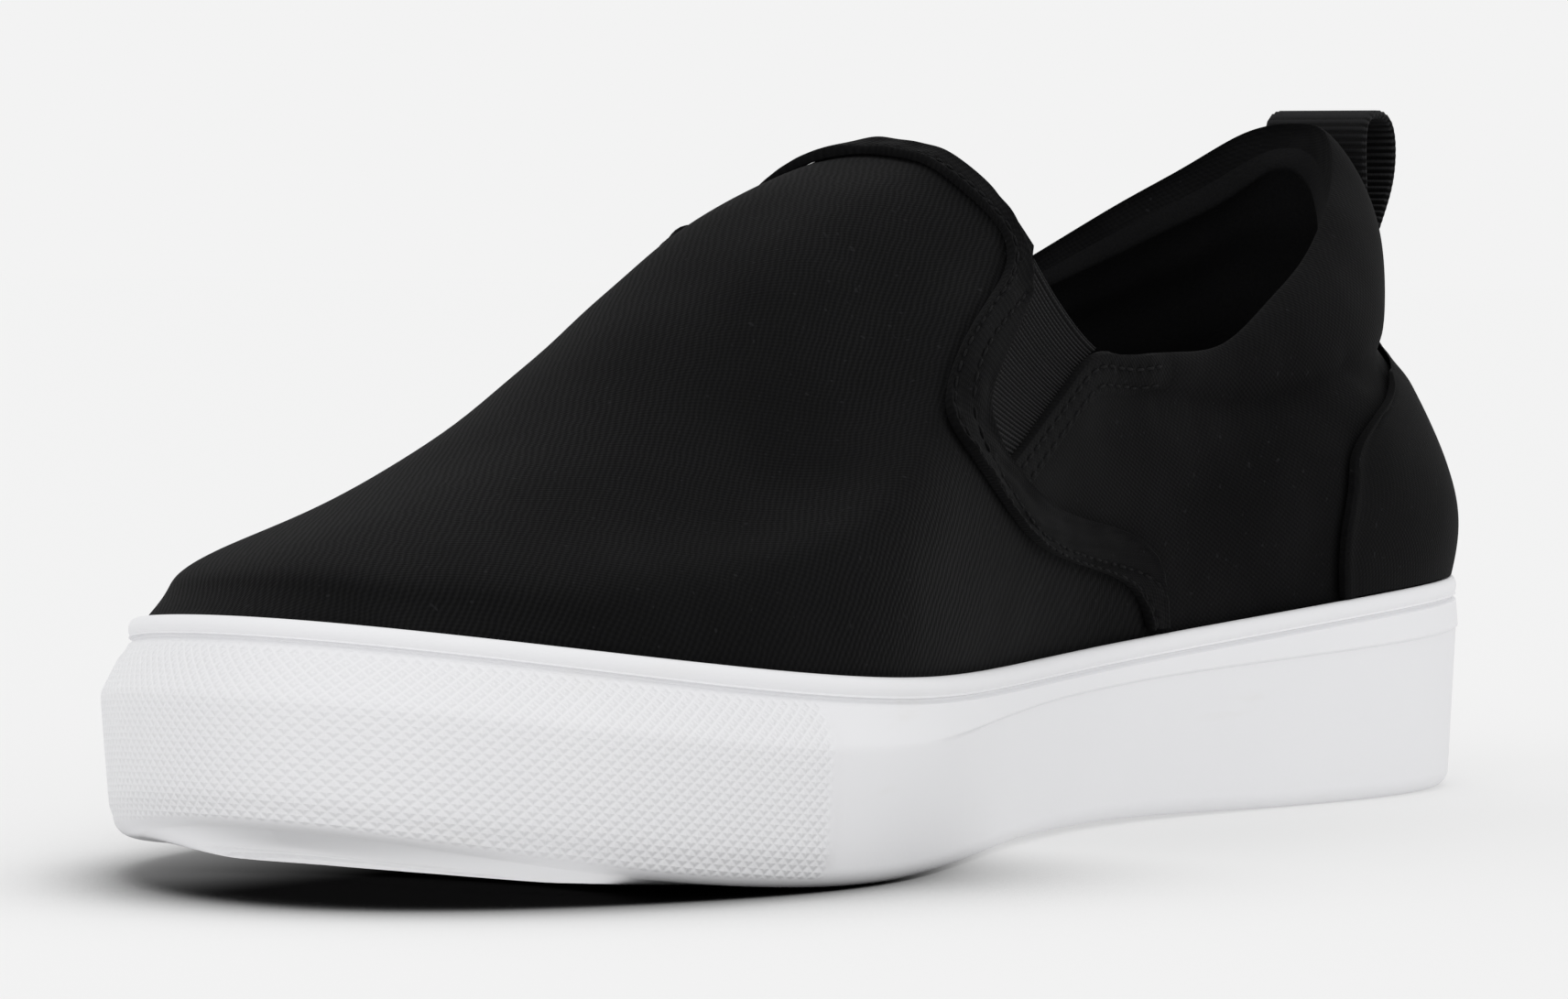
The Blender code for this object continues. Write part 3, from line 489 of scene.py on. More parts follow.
def open_spline(points, count):
    """`count` places along a smooth open curve through the points, evenly spread over it."""
    points = np.asarray(points, float)
    dense = ring_weights(np.linspace(0, 1, 400), len(points)) @ points
    length = lengths(dense)
    at = np.linspace(0, length[-1], count)
    return np.column_stack([np.interp(at, length, dense[:, k]) for k in range(points.shape[1])])


def between(first, second, share):
    """A grid of places from one edge to the other."""
    t = first[:, :1] + (second[:, :1] - first[:, :1]) * share
    h = first[:, 1:] + (second[:, 1:] - first[:, 1:]) * share
    return t, h


def step_aside(path, distance, side):
    """A path on the upper moved sideways over the surface, to the rear for a positive distance."""
    t, h = path[:, 0], np.clip(path[:, 1], 0, 1)
    point = upper_surface(t, h)
    step = 1e-4
    over_t = (upper_surface(t + step, h) - upper_surface(t - step, h)) / (2 * step)
    low, high = np.clip(h - step, 0, 1), np.clip(h + step, 0, 1)
    over_h = (upper_surface(t, high) - upper_surface(t, low)) / (high - low)[:, None]
    run = np.gradient(point, axis=0)
    run /= np.linalg.norm(run, axis=1, keepdims=True)
    aside = np.cross(run, square_to(upper_surface, t, h)) * side * distance
    aa, ab, bb = ((p * q).sum(1) for p, q in ((over_t, over_t), (over_t, over_h), (over_h, over_h)))
    ra, rb = (aside * over_t).sum(1), (aside * over_h).sum(1)
    fall = aa * bb - ab**2
    return np.column_stack([t + (ra * bb - rb * ab) / fall, h + (rb * aa - ra * ab) / fall])


def edges_of(rows, side, count):
    rows = np.array(rows)
    front = open_spline(path_on_upper(rows[:, :2], side), count)
    rear = open_spline(path_on_upper(rows[:, 2:], side), count)
    return front, rear


# Making meshes
def to_frame(points):
    """From along, across and up to the shoe's own axes, with the toe to -Y."""
    points = np.asarray(points, float)
    return np.stack([points[..., 1] + HEEL_X, HEEL_Y - points[..., 0], points[..., 2]], axis=-1)


def make(name, points, faces, cloth=None, finishes=(), finish_of_face=None):
    """An object from points in along, across and up. cloth: the UV of every corner of every face."""
    mesh = bpy.data.meshes.new(name)
    mesh.from_pydata(to_frame(points).tolist(), [], faces)
    if cloth is not None:
        layer = mesh.uv_layers.new(name="cloth")
        layer.data.foreach_set("uv", np.asarray(cloth, np.float32).ravel())
    for finish in finishes:
        mesh.materials.append(finish)
    if finish_of_face is not None:
        mesh.polygons.foreach_set("material_index", np.asarray(finish_of_face, np.int32))
    thing = bpy.data.objects.new(name, mesh)
    bpy.context.scene.collection.objects.link(thing)
    return thing


def tidy(thing, angle=40):
    """Merges doubles, turns the faces outwards and smooths all but the sharp edges."""
    bpy.ops.object.select_all(action="DESELECT")
    bpy.context.view_layer.objects.active = thing
    thing.select_set(True)
    bpy.ops.object.mode_set(mode="EDIT")
    bpy.ops.mesh.select_all(action="SELECT")
    bpy.ops.mesh.remove_doubles(threshold=1e-6)
    bpy.ops.mesh.normals_make_consistent(inside=False)
    bpy.ops.object.mode_set(mode="OBJECT")
    bpy.ops.object.shade_smooth_by_angle(angle=math.radians(angle))
    thing.select_set(False)
    return thing


def grid_faces(ids, wrap_rows=False, wrap_columns=False):
    """Faces of a grid of point numbers, and for each corner its row and column, unwrapped."""
    rows, columns = ids.shape
    i = np.arange(rows if wrap_rows else rows - 1)
    j = np.arange(columns if wrap_columns else columns - 1)
    i, j = (a.ravel() for a in np.meshgrid(i, j, indexing="ij"))
    corner_rows = np.stack([i, i, i + 1, i + 1], axis=1)
    corner_columns = np.stack([j, j + 1, j + 1, j], axis=1)
    faces = ids[corner_rows % rows, corner_columns % columns]
    return faces, corner_rows, corner_columns


def tube(name, sections, cloth=None, caps=True, **finish):
    """A solid along rows of closed sections. cloth: UV of each point, with one more for the wrap."""
    rows, columns = sections.shape[:2]
    ids = np.arange(rows * columns).reshape(rows, columns)
    faces, at_row, at_column = grid_faces(ids, wrap_columns=True)
    faces = faces.tolist()
    corners = None if cloth is None else cloth[at_row, at_column].reshape(-1, 2)
    if caps:
        half = columns // 2
        for row in (0, rows - 1):
            for k in range(half - 1):
                quad = [k, k + 1, columns - 2 - k, columns - 1 - k]
                faces.append([int(ids[row, c]) for c in quad])
                if cloth is not None:
                    corners = np.concatenate([corners, cloth[row, quad]])
    return tidy(make(name, sections.reshape(-1, 3), faces, corners, **finish))


class Panel:
    """A panel of cloth on the upper: a grid of places with its first column along its front edge."""

    def __init__(self, t, h):
        self.t, self.h = t, h
        self.points = upper_surface(t, h)
        self.out = square_to(upper_surface, t, h)
        self.from_front = lengths(self.points, axis=1)
        self.width = self.from_front[:, -1:]
        self.from_rear = self.width - self.from_front
        middle = self.points[:, self.points.shape[1] // 2]
        self.run = lengths(middle)

    def raised(self, lift):
        return self.points + self.out * np.broadcast_to(lift, self.t.shape)[..., None]

    def line_at(self, distance, lift):
        """A line at a distance from the front edge, and the directions square to the panel there."""
        points = self.raised(lift)
        share = [np.interp(distance, row, np.arange(len(row))) for row in self.from_front]
        low = np.minimum(np.floor(share).astype(int), points.shape[1] - 2)
        part = (np.array(share) - low)[:, None]
        rows = np.arange(len(points))
        line = points[rows, low] * (1 - part) + points[rows, low + 1] * part
        return line, self.out[rows, low]

    def plate(self, name, inner, outer, bias=0.0, **finish):
        """The panel as a solid between two lifts, with its twill at `bias` to its run."""
        low, high = self.raised(inner), self.raised(outer)
        sections = np.concatenate([high, low[:, ::-1]], axis=1)
        run = np.broadcast_to(self.run[:, None], self.t.shape)
        u = run * math.cos(bias) + self.from_front * math.sin(bias)
        v = self.from_front * math.cos(bias) - run * math.sin(bias)
        cloth = np.stack([u, v], axis=-1)
        cloth = np.concatenate([cloth, cloth[:, ::-1], cloth[:, :1]], axis=1)
        return tube(name, sections, cloth, **finish)


def rounded(distance, radius):
    """0 at an edge, rising in a quarter circle to 1 at `radius` from it."""
    return np.sqrt(1 - (1 - np.clip(distance / radius, 0, 1)) ** 2)


def close_at_ends(count):
    """Shares from 0 to 1 that lie closer together towards both ends."""
    return 0.5 - 0.5 * np.cos(np.pi * np.linspace(0, 1, count))


# Materials
class Value:
    """A number socket in a finish, so that its shader maths reads as arithmetic."""

    def __init__(self, finish, socket):
        self.finish, self.socket = finish, socket

    def maths(self, operation, *values):
        return self.finish.node("ShaderNodeMath", {"operation": operation}, *values)

    def __add__(self, other):
        return self.maths("ADD", self, other)

    def __sub__(self, other):
        return self.maths("SUBTRACT", self, other)

    def __rsub__(self, other):
        return self.maths("SUBTRACT", other, self)

    def __mul__(self, other):
        return self.maths("MULTIPLY", self, other)

    def __truediv__(self, other):
        return self.maths("DIVIDE", self, other)

    __radd__ = __add__
    __rmul__ = __mul__

    def sine(self):
        return self.maths("SINE", self)

    def triangle(self):
        """0 to 1 and back for each step of 1."""
        return self.maths("PINGPONG", self, 0.5) * 2

    def least(self, other):
        return self.maths("MINIMUM", self, other)

    def ramp(self, low, high):
        """0 below low, 1 above high, smooth between them."""
        settings = {"interpolation_type": "SMOOTHSTEP"}
        return self.finish.node("ShaderNodeMapRange", settings, self, low, high)

    def part(self, name):
        return Value(self.finish, self.socket.node.outputs[name])


class Finish:
    """A material with one Principled shader."""

    def __init__(self, name, roughness, **constants):
        self.material = bpy.data.materials.new(name)
        self.material.use_nodes = True
        self.tree = self.material.node_tree
        self.shader = self.tree.nodes["Principled BSDF"]
        self.shader.inputs["Roughness"].default_value = roughness
        for socket, number in constants.items():
            self.shader.inputs[socket.replace("_", " ")].default_value = number

    def feed(self, socket, value):
        if isinstance(value, Value):
            self.tree.links.new(value.socket, socket)
        elif value is not None:
            socket.default_value = value

    def node(self, kind, settings, *values, output=0, **named):
        made = self.tree.nodes.new(kind)
        for key, setting in settings.items():
            setattr(made, key, setting)
        for socket, value in zip(made.inputs, values):
            self.feed(socket, value)
        for socket, value in named.items():
            self.feed(made.inputs[socket], value)
        return Value(self, made.outputs[output])

    def place(self):
        return self.node("ShaderNodeTexCoord", {}, output="Object")

    def cloth(self):
        return self.node("ShaderNodeUVMap", {"uv_map": "cloth"})

    def noise(self, where, size, detail=2.0, stretch=(1, 1, 1)):
        """Smooth noise from 0 to 1 with lumps of about `size` metres."""
        scaled = self.node("ShaderNodeMapping", {}, where, Scale=tuple(s / size for s in stretch))
        return self.node("ShaderNodeTexNoise", {}, scaled, Scale=1.0, Detail=detail)

    def mix(self, factor, first, second):
        """A colour between two, by the factor."""
        settings = {"data_type": "RGBA"}
        made = self.node("ShaderNodeMix", settings, factor, output=2)
        for socket, value in ((6, first), (7, second)):
            value = value if isinstance(value, Value) else (*value, 1.0)
            self.feed(made.socket.node.inputs[socket], value)
        return made

    def paint(self, color):
        self.feed(self.shader.inputs["Base Color"], color)

    def rough(self, value):
        self.feed(self.shader.inputs["Roughness"], value)

    def bump(self, height, depth, strength=1.0):
        """Relief from a height of 0 to 1 that stands for `depth` metres."""
        made = self.node("ShaderNodeBump", {}, Strength=strength, Distance=depth, Height=height)
        self.feed(self.shader.inputs["Normal"], made)


def twill(name, dark, light, pitch=TWILL_PITCH, depth=0.00016, show=1.0, mottle=0.35):
    """Cotton twill: fine diagonal ribs made of short yarn floats, faintly mottled, with a little lint."""
    finish = Finish(name, 0.90, Sheen_Weight=0.012, Sheen_Roughness=0.5, Specular_IOR_Level=0.05)
    cloth, place = finish.cloth(), finish.place()
    split = finish.node("ShaderNodeSeparateXYZ", {}, cloth)
    u, v = split.part("X"), split.part("Y")
    waver = finish.noise(place, 0.0045) * 0.0011
    phase = (u + waver) / pitch
    rib = (phase * (2 * math.pi)).sine() * 0.5 + 0.5
    float_ = ((v / (0.62 * pitch) + phase * 0.33) * (2 * math.pi)).sine() * 0.5 + 0.5
    fuzz = finish.noise(place, 0.00035, 3.0)
    patches = finish.noise(place, 0.016, 3.0)
    fade = finish.noise(place, 0.030, 1.0).ramp(0.25, 0.70) * 0.45 + 0.55
    weave = rib * fade * show * 0.55 + float_ * 0.12 + fuzz * 0.33
    shade = weave * 0.75 + (patches - 0.5) * mottle
    color = finish.mix(shade.ramp(0.0, 1.0), dark, light)
    lint = finish.noise(place, 0.0009, 0.0).ramp(0.80, 0.84)
    finish.paint(finish.mix(lint * 0.20, color, (0.035, 0.035, 0.038)))
    finish.rough(0.92 - rib * 0.08)
    finish.bump(rib * fade * show * 0.6 + float_ * 0.15 + fuzz * 0.35, depth)
    return finish.material


BLACK_DARK = (0.0030, 0.0030, 0.0032)
BLACK_LIGHT = (0.0105, 0.0105, 0.0110)

vamp_twill = twill("vamp_twill", BLACK_DARK, BLACK_LIGHT, pitch=0.00090, show=0.8, mottle=0.5)
quarter_twill = twill(
    "quarter_twill", (0.0022, 0.0022, 0.0024), (0.0100, 0.0100, 0.0105), show=0.15, mottle=0.8)
band_twill = twill("band_twill", (0.0022, 0.0022, 0.0024), (0.0105, 0.0105, 0.0110), show=0.3, mottle=0.8)
counter_twill = twill(
    "counter_twill", (0.0028, 0.0028, 0.0030), (0.0112, 0.0112, 0.0117), show=0.2, mottle=0.8)


def knitted_lining():
    """Brushed knit inside the upper."""
    finish = Finish("lining_knit", 0.95, Sheen_Weight=0.01, Specular_IOR_Level=0.04)
    place = finish.place()
    fuzz = finish.noise(place, 0.0004, 3.0)
    patches = finish.noise(place, 0.012, 2.0)
    finish.paint(finish.mix(fuzz * 0.6 + patches * 0.4, (0.0028, 0.0028, 0.0030), (0.0105, 0.0105, 0.0110)))
    finish.bump(fuzz, 0.00012)
    return finish.material


def elastic_web():
    """Woven elastic: fine cross ribs of covered rubber yarn, with loops that break them up."""
    finish = Finish("elastic_web", 0.85, Sheen_Weight=0.02, Sheen_Roughness=0.5, Specular_IOR_Level=0.08)
    place = finish.place()
    split = finish.node("ShaderNodeSeparateXYZ", {}, finish.cloth())
    u, v = split.part("X"), split.part("Y")
    rib = (u * (2 * math.pi / ELASTIC_RIB)).sine() * 0.5 + 0.5
    loops = ((v / 0.00062 + u / 0.0016) * (2 * math.pi)).sine() * 0.5 + 0.5
    yarn = finish.noise(place, 0.00040, 2.0)
    weave = rib * 0.35 + rib * loops * 0.35 + yarn * 0.3
    finish.paint(finish.mix(weave.ramp(0.15, 0.85), (0.0030, 0.0030, 0.0032), (0.0165, 0.0165, 0.0172)))
    finish.bump(weave, 0.00022)
    return finish.material


def ribbon_grosgrain():
    """Black ribbon whose cross ribs are modelled; the finish adds its fine warp threads and paints shade into
    the gaps between the ribs.
    """
    finish = Finish("ribbon_grosgrain", 0.78, Sheen_Weight=0.015, Specular_IOR_Level=0.10)
    split = finish.node("ShaderNodeSeparateXYZ", {}, finish.cloth())
    u, v = split.part("X"), split.part("Y")
    threads = (v * (2 * math.pi / 0.00035)).sine() * 0.5 + 0.5
    rib = (u * (2 * math.pi / RIB_PITCH)).sine() * 0.5 + 0.5
    fuzz = finish.noise(finish.place(), 0.0005)
    # The rib term darkens the colour in the gaps between the ribs: painted shade in the grooves, on top of the
    # modelled ribs.
    shade = rib * 0.70 + threads * 0.12 + fuzz * 0.18
    finish.paint(finish.mix(shade.ramp(0.30, 0.80), (0.0008, 0.0008, 0.0009), (0.0190, 0.0190, 0.0200)))
    finish.bump(threads * 0.5 + fuzz * 0.5, 0.00008)
    return finish.material


def sewing_thread():
    """Black thread with a slight shine and a twist along it."""
    finish = Finish("sewing_thread", 0.80, Sheen_Weight=0.01, Specular_IOR_Level=0.06)
    twist = finish.noise(finish.place(), 0.0003, 1.0)
    finish.paint(finish.mix(twist, (0.0030, 0.0030, 0.0033), (0.0105, 0.0105, 0.0110)))
    finish.bump(twist, 0.0001)
    return finish.material


def white_rubber():
    """Matt white vulcanised rubber: faint mottling, fine grain, and pyramids on the toe bumper."""
    finish = Finish("sole_rubber", 0.52, Specular_IOR_Level=0.42, Subsurface_Weight=0.0)
    place = finish.place()
    split = finish.node("ShaderNodeSeparateXYZ", {}, finish.cloth())
    u, v = split.part("X"), split.part("Y")
    patches = finish.noise(place, 0.030, 3.0)
    grain = finish.noise(place, 0.0007, 2.0)
    smudge = finish.noise(place, 0.011, 4.0, stretch=(0.5, 0.5, 2.2)).ramp(0.62, 0.80) * 0.5
    clean = finish.mix(patches, (0.805, 0.805, 0.823), (0.840, 0.840, 0.853))
    finish.paint(finish.mix(smudge, clean, (0.785, 0.778, 0.772)))
    finish.rough(0.50 + (grain - 0.5) * 0.15)
    attribute = finish.node("ShaderNodeAttribute", {"attribute_name": "bumper"}, output="Fac")
    first = ((u / 0.0017 + v / 0.0016)).triangle()
    second = ((u / 0.0017 - v / 0.0016)).triangle()
    pyramid = first.least(second).ramp(0.0, 0.95)
    finish.bump(pyramid * attribute + grain * 0.06, 0.00016)
    return finish.material


def insole_foam():
    """Black fabric on the foam insole."""
    finish = Finish("insole_fabric", 0.93, Sheen_Weight=0.02, Specular_IOR_Level=0.06)
    fuzz = finish.noise(finish.place(), 0.0006, 3.0)
    finish.paint(finish.mix(fuzz, (0.004, 0.004, 0.0045), (0.013, 0.013, 0.0135)))
    finish.bump(fuzz, 0.00015)
    return finish.material


lining_knit = knitted_lining()
elastic = elastic_web()
grosgrain = ribbon_grosgrain()
thread = sewing_thread()
rubber = white_rubber()
foam = insole_foam()


# Places round the upper, evenly spread along the feather line
def spread_round(count):
    dense = np.linspace(0, 1, 6001)
    length = lengths(FEATHER(dense)[:, :2])
    return np.interp(np.linspace(0, length[-1], count, endpoint=False), length, dense)


def wall_ring(t, out, height):
    """A ring standing `out` from the feather line in plan, at heights above the floor."""
    ring = FEATHER(t)
    ring[:, :2] += outward(t) * np.broadcast_to(out, t.shape)[:, None]
    ring[:, 2] = height
    return ring


def bottom_height(along):
    """The underside of the sole above the floor: flat from heel to ball, then the toe spring."""
    rise = np.clip((np.asarray(along) - 0.70 * UPPER_LENGTH) / (0.34 * UPPER_LENGTH), 0, None)
    arch = smooth_step(along, 0.22 * UPPER_LENGTH, 0.40 * UPPER_LENGTH)
    arch = arch * (1 - smooth_step(along, 0.48 * UPPER_LENGTH, 0.62 * UPPER_LENGTH))
    return TOE_SPRING * rise**2.3 + ARCH_RISE * arch


def floor_height(along):
    """The cup's floor, on which the insole lies."""
    share = np.asarray(along) / UPPER_LENGTH
    places = (-0.02, 0.10, 0.25, 0.43, 0.55, 0.68, 0.85, 1.02)
    heights = (0.735, 0.70, 0.62, 0.52, 0.50, 0.51, 0.60, 0.79)
    return np.interp(share, places, heights) * SOLE_HEIGHT


def distance_to_segment(points, start, end):
    """Distance of each point from a straight segment, and how far along it the nearest point is."""
    run = end - start
    share = np.clip(((points - start) @ run) / (run @ run), 0, 1)
    return np.linalg.norm(points - start - share[..., None] * run, axis=-1), share


def distance_to_line(points, line):
    """Distance of each point from the nearest of a line's points."""
    flat = points.reshape(-1, 3)
    near = np.full(len(flat), np.inf)
    for start in range(0, len(flat), 4000):
        part = flat[start : start + 4000]
        gap = np.linalg.norm(part[:, None] - line[None], axis=-1)
        near[start : start + 4000] = gap.min(axis=1)
    return near.reshape(points.shape[:-1])


def cloth_relief(points):
    """Troughs and ridges in the cloth at points of the upper, with a faint unevenness all over."""
    relief = np.zeros(points.shape[:-1])
    for start_place, start_h, end_place, end_h, width, depth in FOLDS:
        ends = upper_surface(at_station([start_place, end_place]), [start_h, end_h])
        gap, share = distance_to_segment(points, ends[0], ends[1])
        relief -= depth * bell(gap, width) * (0.35 + 0.65 * np.sin(np.pi * share))
    x, y, z = (points[..., k] for k in range(3))
    relief += 0.00010 * np.sin(x / 0.0053 + 1.3 * np.sin(z / 0.0071)) * np.sin(y / 0.0062 + z / 0.0049)
    relief += 0.00012 * np.sin(x / 0.0117 + y / 0.0093) * np.sin(z / 0.0083 + 0.7)
    return relief


def band_edges():
    """The folded band's front and rear edges: up one side, over the throat and down the other."""
    rows = np.array(BAND)
    fronts, rears = [], []
    for side in (1, -1):
        front, rear = edges_of(rows, side, 23)
        fronts.append(front if side > 0 else front[::-1])
        rears.append(rear if side > 0 else rear[::-1])
    throat = np.linspace(at_station(4.0), at_station(10.0), 20)
    slant = np.linalg.norm(TOP(throat) - climb_surface(throat, np.full(20, 0.9)), axis=-1)
    low = np.column_stack([throat, 1 - 0.1 * THROAT_BAND_WIDTH / slant])
    top = np.column_stack([throat, np.ones(20)])
    both = []
    for sides, middle in ((fronts, low), (rears, top)):
        path = np.concatenate([sides[0], middle, sides[1]])
        for _ in range(3):
            soft = 0.25 * path[:-2] + 0.5 * path[1:-1] + 0.25 * path[2:]
            path = np.concatenate([path[:1], soft, path[-1:]])
        path = ring_weights(np.linspace(0, 1, 6 * len(path)), len(path)) @ path
        path[:, 1] = np.clip(path[:, 1], 0, 1)
        both.append(path)
    return both


BAND_FRONT, BAND_REAR = band_edges()
COUNTER_UP = np.linspace(0.022, 1.0, 90)


def counter_grid(shares):
    place = ring_weights(COUNTER_UP, len(COUNTER_EDGE)) @ np.array([row[1] for row in COUNTER_EDGE])
    t = at_station(place)[:, None] * shares
    return t, COUNTER_UP[:, None] * (crease_level(t) - 0.03)


def vamp_cloth(points):
    """Where the points are on the vamp's cloth: from its middle over to the side, and towards the toe."""
    along, across, up = (points[..., k] for k in range(3))
    ridge = upper_surface(np.full(200, TOE_T), np.linspace(0, 1, 200))
    order = np.argsort(ridge[:, 0])
    drop = np.maximum(np.interp(along, ridge[order, 0], ridge[order, 2]) - up, 0)
    aside = across + np.tanh(across / 0.012) * 0.55 * drop
    return 0.866 * aside - 0.5 * along, 0.5 * aside + 0.866 * along


def quarter_cloth(points):
    along, across, up = (points[..., k] for k in range(3))
    around = along * np.sign(across + 1e-9)
    return 0.80 * around + 0.60 * up, -0.60 * around + 0.80 * up


def notch_cutter(side):
    """A block through the upper's wall, wider than the elastic by the gap all round."""
    front, rear = edges_of(GORE, side, 48)
    share = np.linspace(0, 1, 9)
    t, h = between(front, rear, share)
    width = np.linalg.norm(upper_surface(t[:, 0], h[:, 0]) - upper_surface(t[:, -1], h[:, -1]), axis=-1)
    more = (2.7 * GAP / width)[:, None] * (front[:, :1] - rear[:, :1])
    t = t + more * (1 - 2 * share)
    h[-1] -= 0.006
    low, high = lifted(t, h, -2.0 * CANVAS_WALL), lifted(t, h, 1.6 * CANVAS_WALL)
    over = np.array([0, 0, 0.3 * QUARTER_HEIGHT])
    low, high = np.concatenate([low[:1] + over, low]), np.concatenate([high[:1] + over, high])
    return tube("notch_cutter", np.concatenate([high, low[:, ::-1]], axis=1))


def corner_cutter(side):
    """A block that rounds off the quarter's top corner along the hem."""
    hem = hem_path(side)
    limit = path_on_upper([(3.06, 1.0)], side)[0, 0]
    hem = hem[(hem[:, 1] > 0.82) & (np.abs(hem[:, 0] - TOE_T) < abs(limit - TOE_T))][::3]
    line = upper_surface(hem[:, 0], hem[:, 1])
    out = square_to(upper_surface, hem[:1, 0], np.array([0.90]))[0]
    run = np.gradient(line, axis=0)
    away = -np.cross(run, out) * side
    away /= np.linalg.norm(away, axis=1, keepdims=True)
    section = np.concatenate([line, (line + 0.0038 * away)[::-1]])
    return tube("corner_cutter", np.stack([section - 0.007 * out, section + 0.004 * out]))


def cut_out(thing, cutters):
    """Takes the cutters out of an object, and the cutters out of the scene."""
    bpy.ops.object.select_all(action="DESELECT")
    bpy.context.view_layer.objects.active = thing
    for cutter in cutters:
        modifier = thing.modifiers.new("cut", "BOOLEAN")
        modifier.operation = "DIFFERENCE"
        modifier.solver = "EXACT"
        modifier.object = cutter
        bpy.ops.object.modifier_apply(modifier="cut")
        bpy.data.objects.remove(cutter, do_unlink=True)


def build_upper():
    """One hollow solid: the outer cloth, the roll over the top edge, the lining and the skirt below."""
    t = spread_round(ROUND_UPPER)
    heights = np.concatenate([
        np.linspace(0, 0.86, 78),
        0.86 + 0.14 * np.sin(np.linspace(0, 1, 25)[1:] * np.pi / 2),
    ])
    grid_t, grid_h = np.meshgrid(t, heights)
    outer = upper_surface(grid_t, grid_h)
    relief = cloth_relief(outer)
    front_line = upper_surface(BAND_FRONT[:, 0], BAND_FRONT[:, 1])
    fine_line = ring_weights(np.linspace(0, 1, 900), len(front_line)) @ front_line
    fade = rounded(1 - grid_h, 0.10) * smooth_step(grid_h, 0.0, 0.05)
    relief = relief * fade - 0.00030 * bell(distance_to_line(outer, fine_line), 0.0009)
    counter_t, counter_h = counter_grid(np.array([-1.0, 1.0]))
    for column in (0, 1):
        line = upper_surface(counter_t[:, column], counter_h[:, column])
        line = ring_weights(np.linspace(0, 1, 300), len(line)) @ line
        relief -= 0.00035 * bell(distance_to_line(outer, line), 0.0012)
    for side in (1, -1):
        under_pad = path_on_upper(np.column_stack([np.linspace(0.3, 2.85, 120), np.ones(120)]), side)[:, 0]
        line = upper_surface(under_pad, crease_level(under_pad))
        relief -= 0.00085 * bell(distance_to_line(outer, line), 0.0026) * collar(grid_t, 1) ** 0.6
    outer = outer + square_to(upper_surface, grid_t, grid_h) * relief[..., None]

    inner_heights = np.concatenate([
        1 - 0.14 * (1 - np.cos(np.linspace(0, 1, 22)[1:] * np.pi / 2)),
        np.linspace(0.85, 0, 30),
    ])
    inner_t, inner_h = np.meshgrid(t, inner_heights)
    wall = upper_wall(inner_t, inner_h)
    reach = np.linalg.norm(TOP(inner_t) - climb_surface(inner_t, inner_h), axis=-1)
    seam = 0.00045 * smooth_step(reach, 0.0003, 0.0006) * smooth_step(0.02 - reach, 0, 0.01)
    inner = lifted(inner_t, inner_h, -(wall + seam))
    skirt = floor_height(FEATHER(t)[:, 0]) + GAP
    rings = np.concatenate([
        wall_ring(t, -CANVAS_WALL, skirt)[None],
        wall_ring(t, 0.0, skirt)[None],
        outer,
        inner,
    ])
    rows, columns = rings.shape[:2]
    ids = np.arange(rows * columns).reshape(rows, columns)
    faces, at_row, at_column = grid_faces(ids, wrap_rows=True, wrap_columns=True)
    face_t = t[np.minimum(at_column[:, 0], columns - 1)]
    place = np.interp(face_t, np.append(STATION_T, 1.0), np.arange(len(STATION_T) + 1))
    place = np.minimum(place, len(STATION_T) - place)
    seam_front, seam_rear = edges_of(BAND, 1, 60)
    seam_line = 0.5 * (seam_front + seam_rear)
    seam_place = np.interp(seam_line[:, 0], STATION_T, np.arange(len(STATION_T)))
    row_h = np.concatenate([[0, 0], heights, inner_heights])
    face_h = row_h[np.minimum(at_row[:, 0], rows - 1)]
    on_vamp = place > np.interp(face_h, seam_line[:, 1], seam_place)
    corner_points = rings.reshape(-1, 3)[faces]
    vamp = np.stack(vamp_cloth(corner_points), axis=-1)
    quarter = np.stack(quarter_cloth(corner_points), axis=-1)
    cloth = np.where(on_vamp[:, None, None], vamp, quarter).reshape(-1, 2)
    inside = at_row[:, 0] >= 2 + len(heights) + 4
    kind = np.where(inside, 1, np.where(on_vamp, 0, 2))
    finishes = [vamp_twill, lining_knit, quarter_twill]
    upper = make("upper_shell", rings.reshape(-1, 3), faces.tolist(), cloth, finishes, kind)
    tidy(upper)
    cut_out(upper, [notch_cutter(1), notch_cutter(-1), corner_cutter(1), corner_cutter(-1)])
    return tidy(upper)


def stitch_row(line, out, pitch=STITCH_PITCH, sink=0.00006):
    """Stitches along a line: one capsule, copied along it."""
    length = lengths(line)
    count = max(int(length[-1] / pitch), 1)
    uneven = np.sin(np.arange(count) * 2.399) + np.sin(np.arange(count) * 1.171)
    centre = (np.arange(count) + 0.5 + 0.05 * uneven) * length[-1] / count
    half = 0.5 * STITCH_LENGTH * (1 + 0.08 * uneven[::-1])
    ends = [centre - half, centre + half]
    start, end = (np.column_stack([np.interp(e, length, line[:, k]) for k in range(3)]) for e in ends)
    up = np.column_stack([np.interp(centre, length, out[:, k]) for k in range(3)])
    along = end - start
    size = np.linalg.norm(along, axis=1, keepdims=True)
    along /= size
    side = np.cross(up, along)
    shape = np.array([(-1.0, 0.15), (-0.8, 0.8), (-0.35, 1.0), (0.35, 1.0), (0.8, 0.8), (1.0, 0.15)])
    around = np.linspace(0, 2 * np.pi, 7)[:-1]
    points, faces = [], []
    for k in range(count):
        middle = 0.5 * (start[k] + end[k]) + up[k] * (THREAD_RADIUS - sink)
        first = len(points)
        for place, radius in shape:
            arch = (1 - place**2) * 0.5 * THREAD_RADIUS
            for angle in around:
                offset = side[k] * math.cos(angle) + up[k] * math.sin(angle)
                spot = middle + along[k] * place * 0.5 * size[k] + up[k] * (arch - 0.5 * THREAD_RADIUS)
                points.append(spot + offset * radius * THREAD_RADIUS)
        ids = first + np.arange(36).reshape(6, 6)
        faces += grid_faces(ids, wrap_columns=True)[0].tolist()
        faces += [ids[0].tolist(), ids[-1].tolist()]
    return points, faces


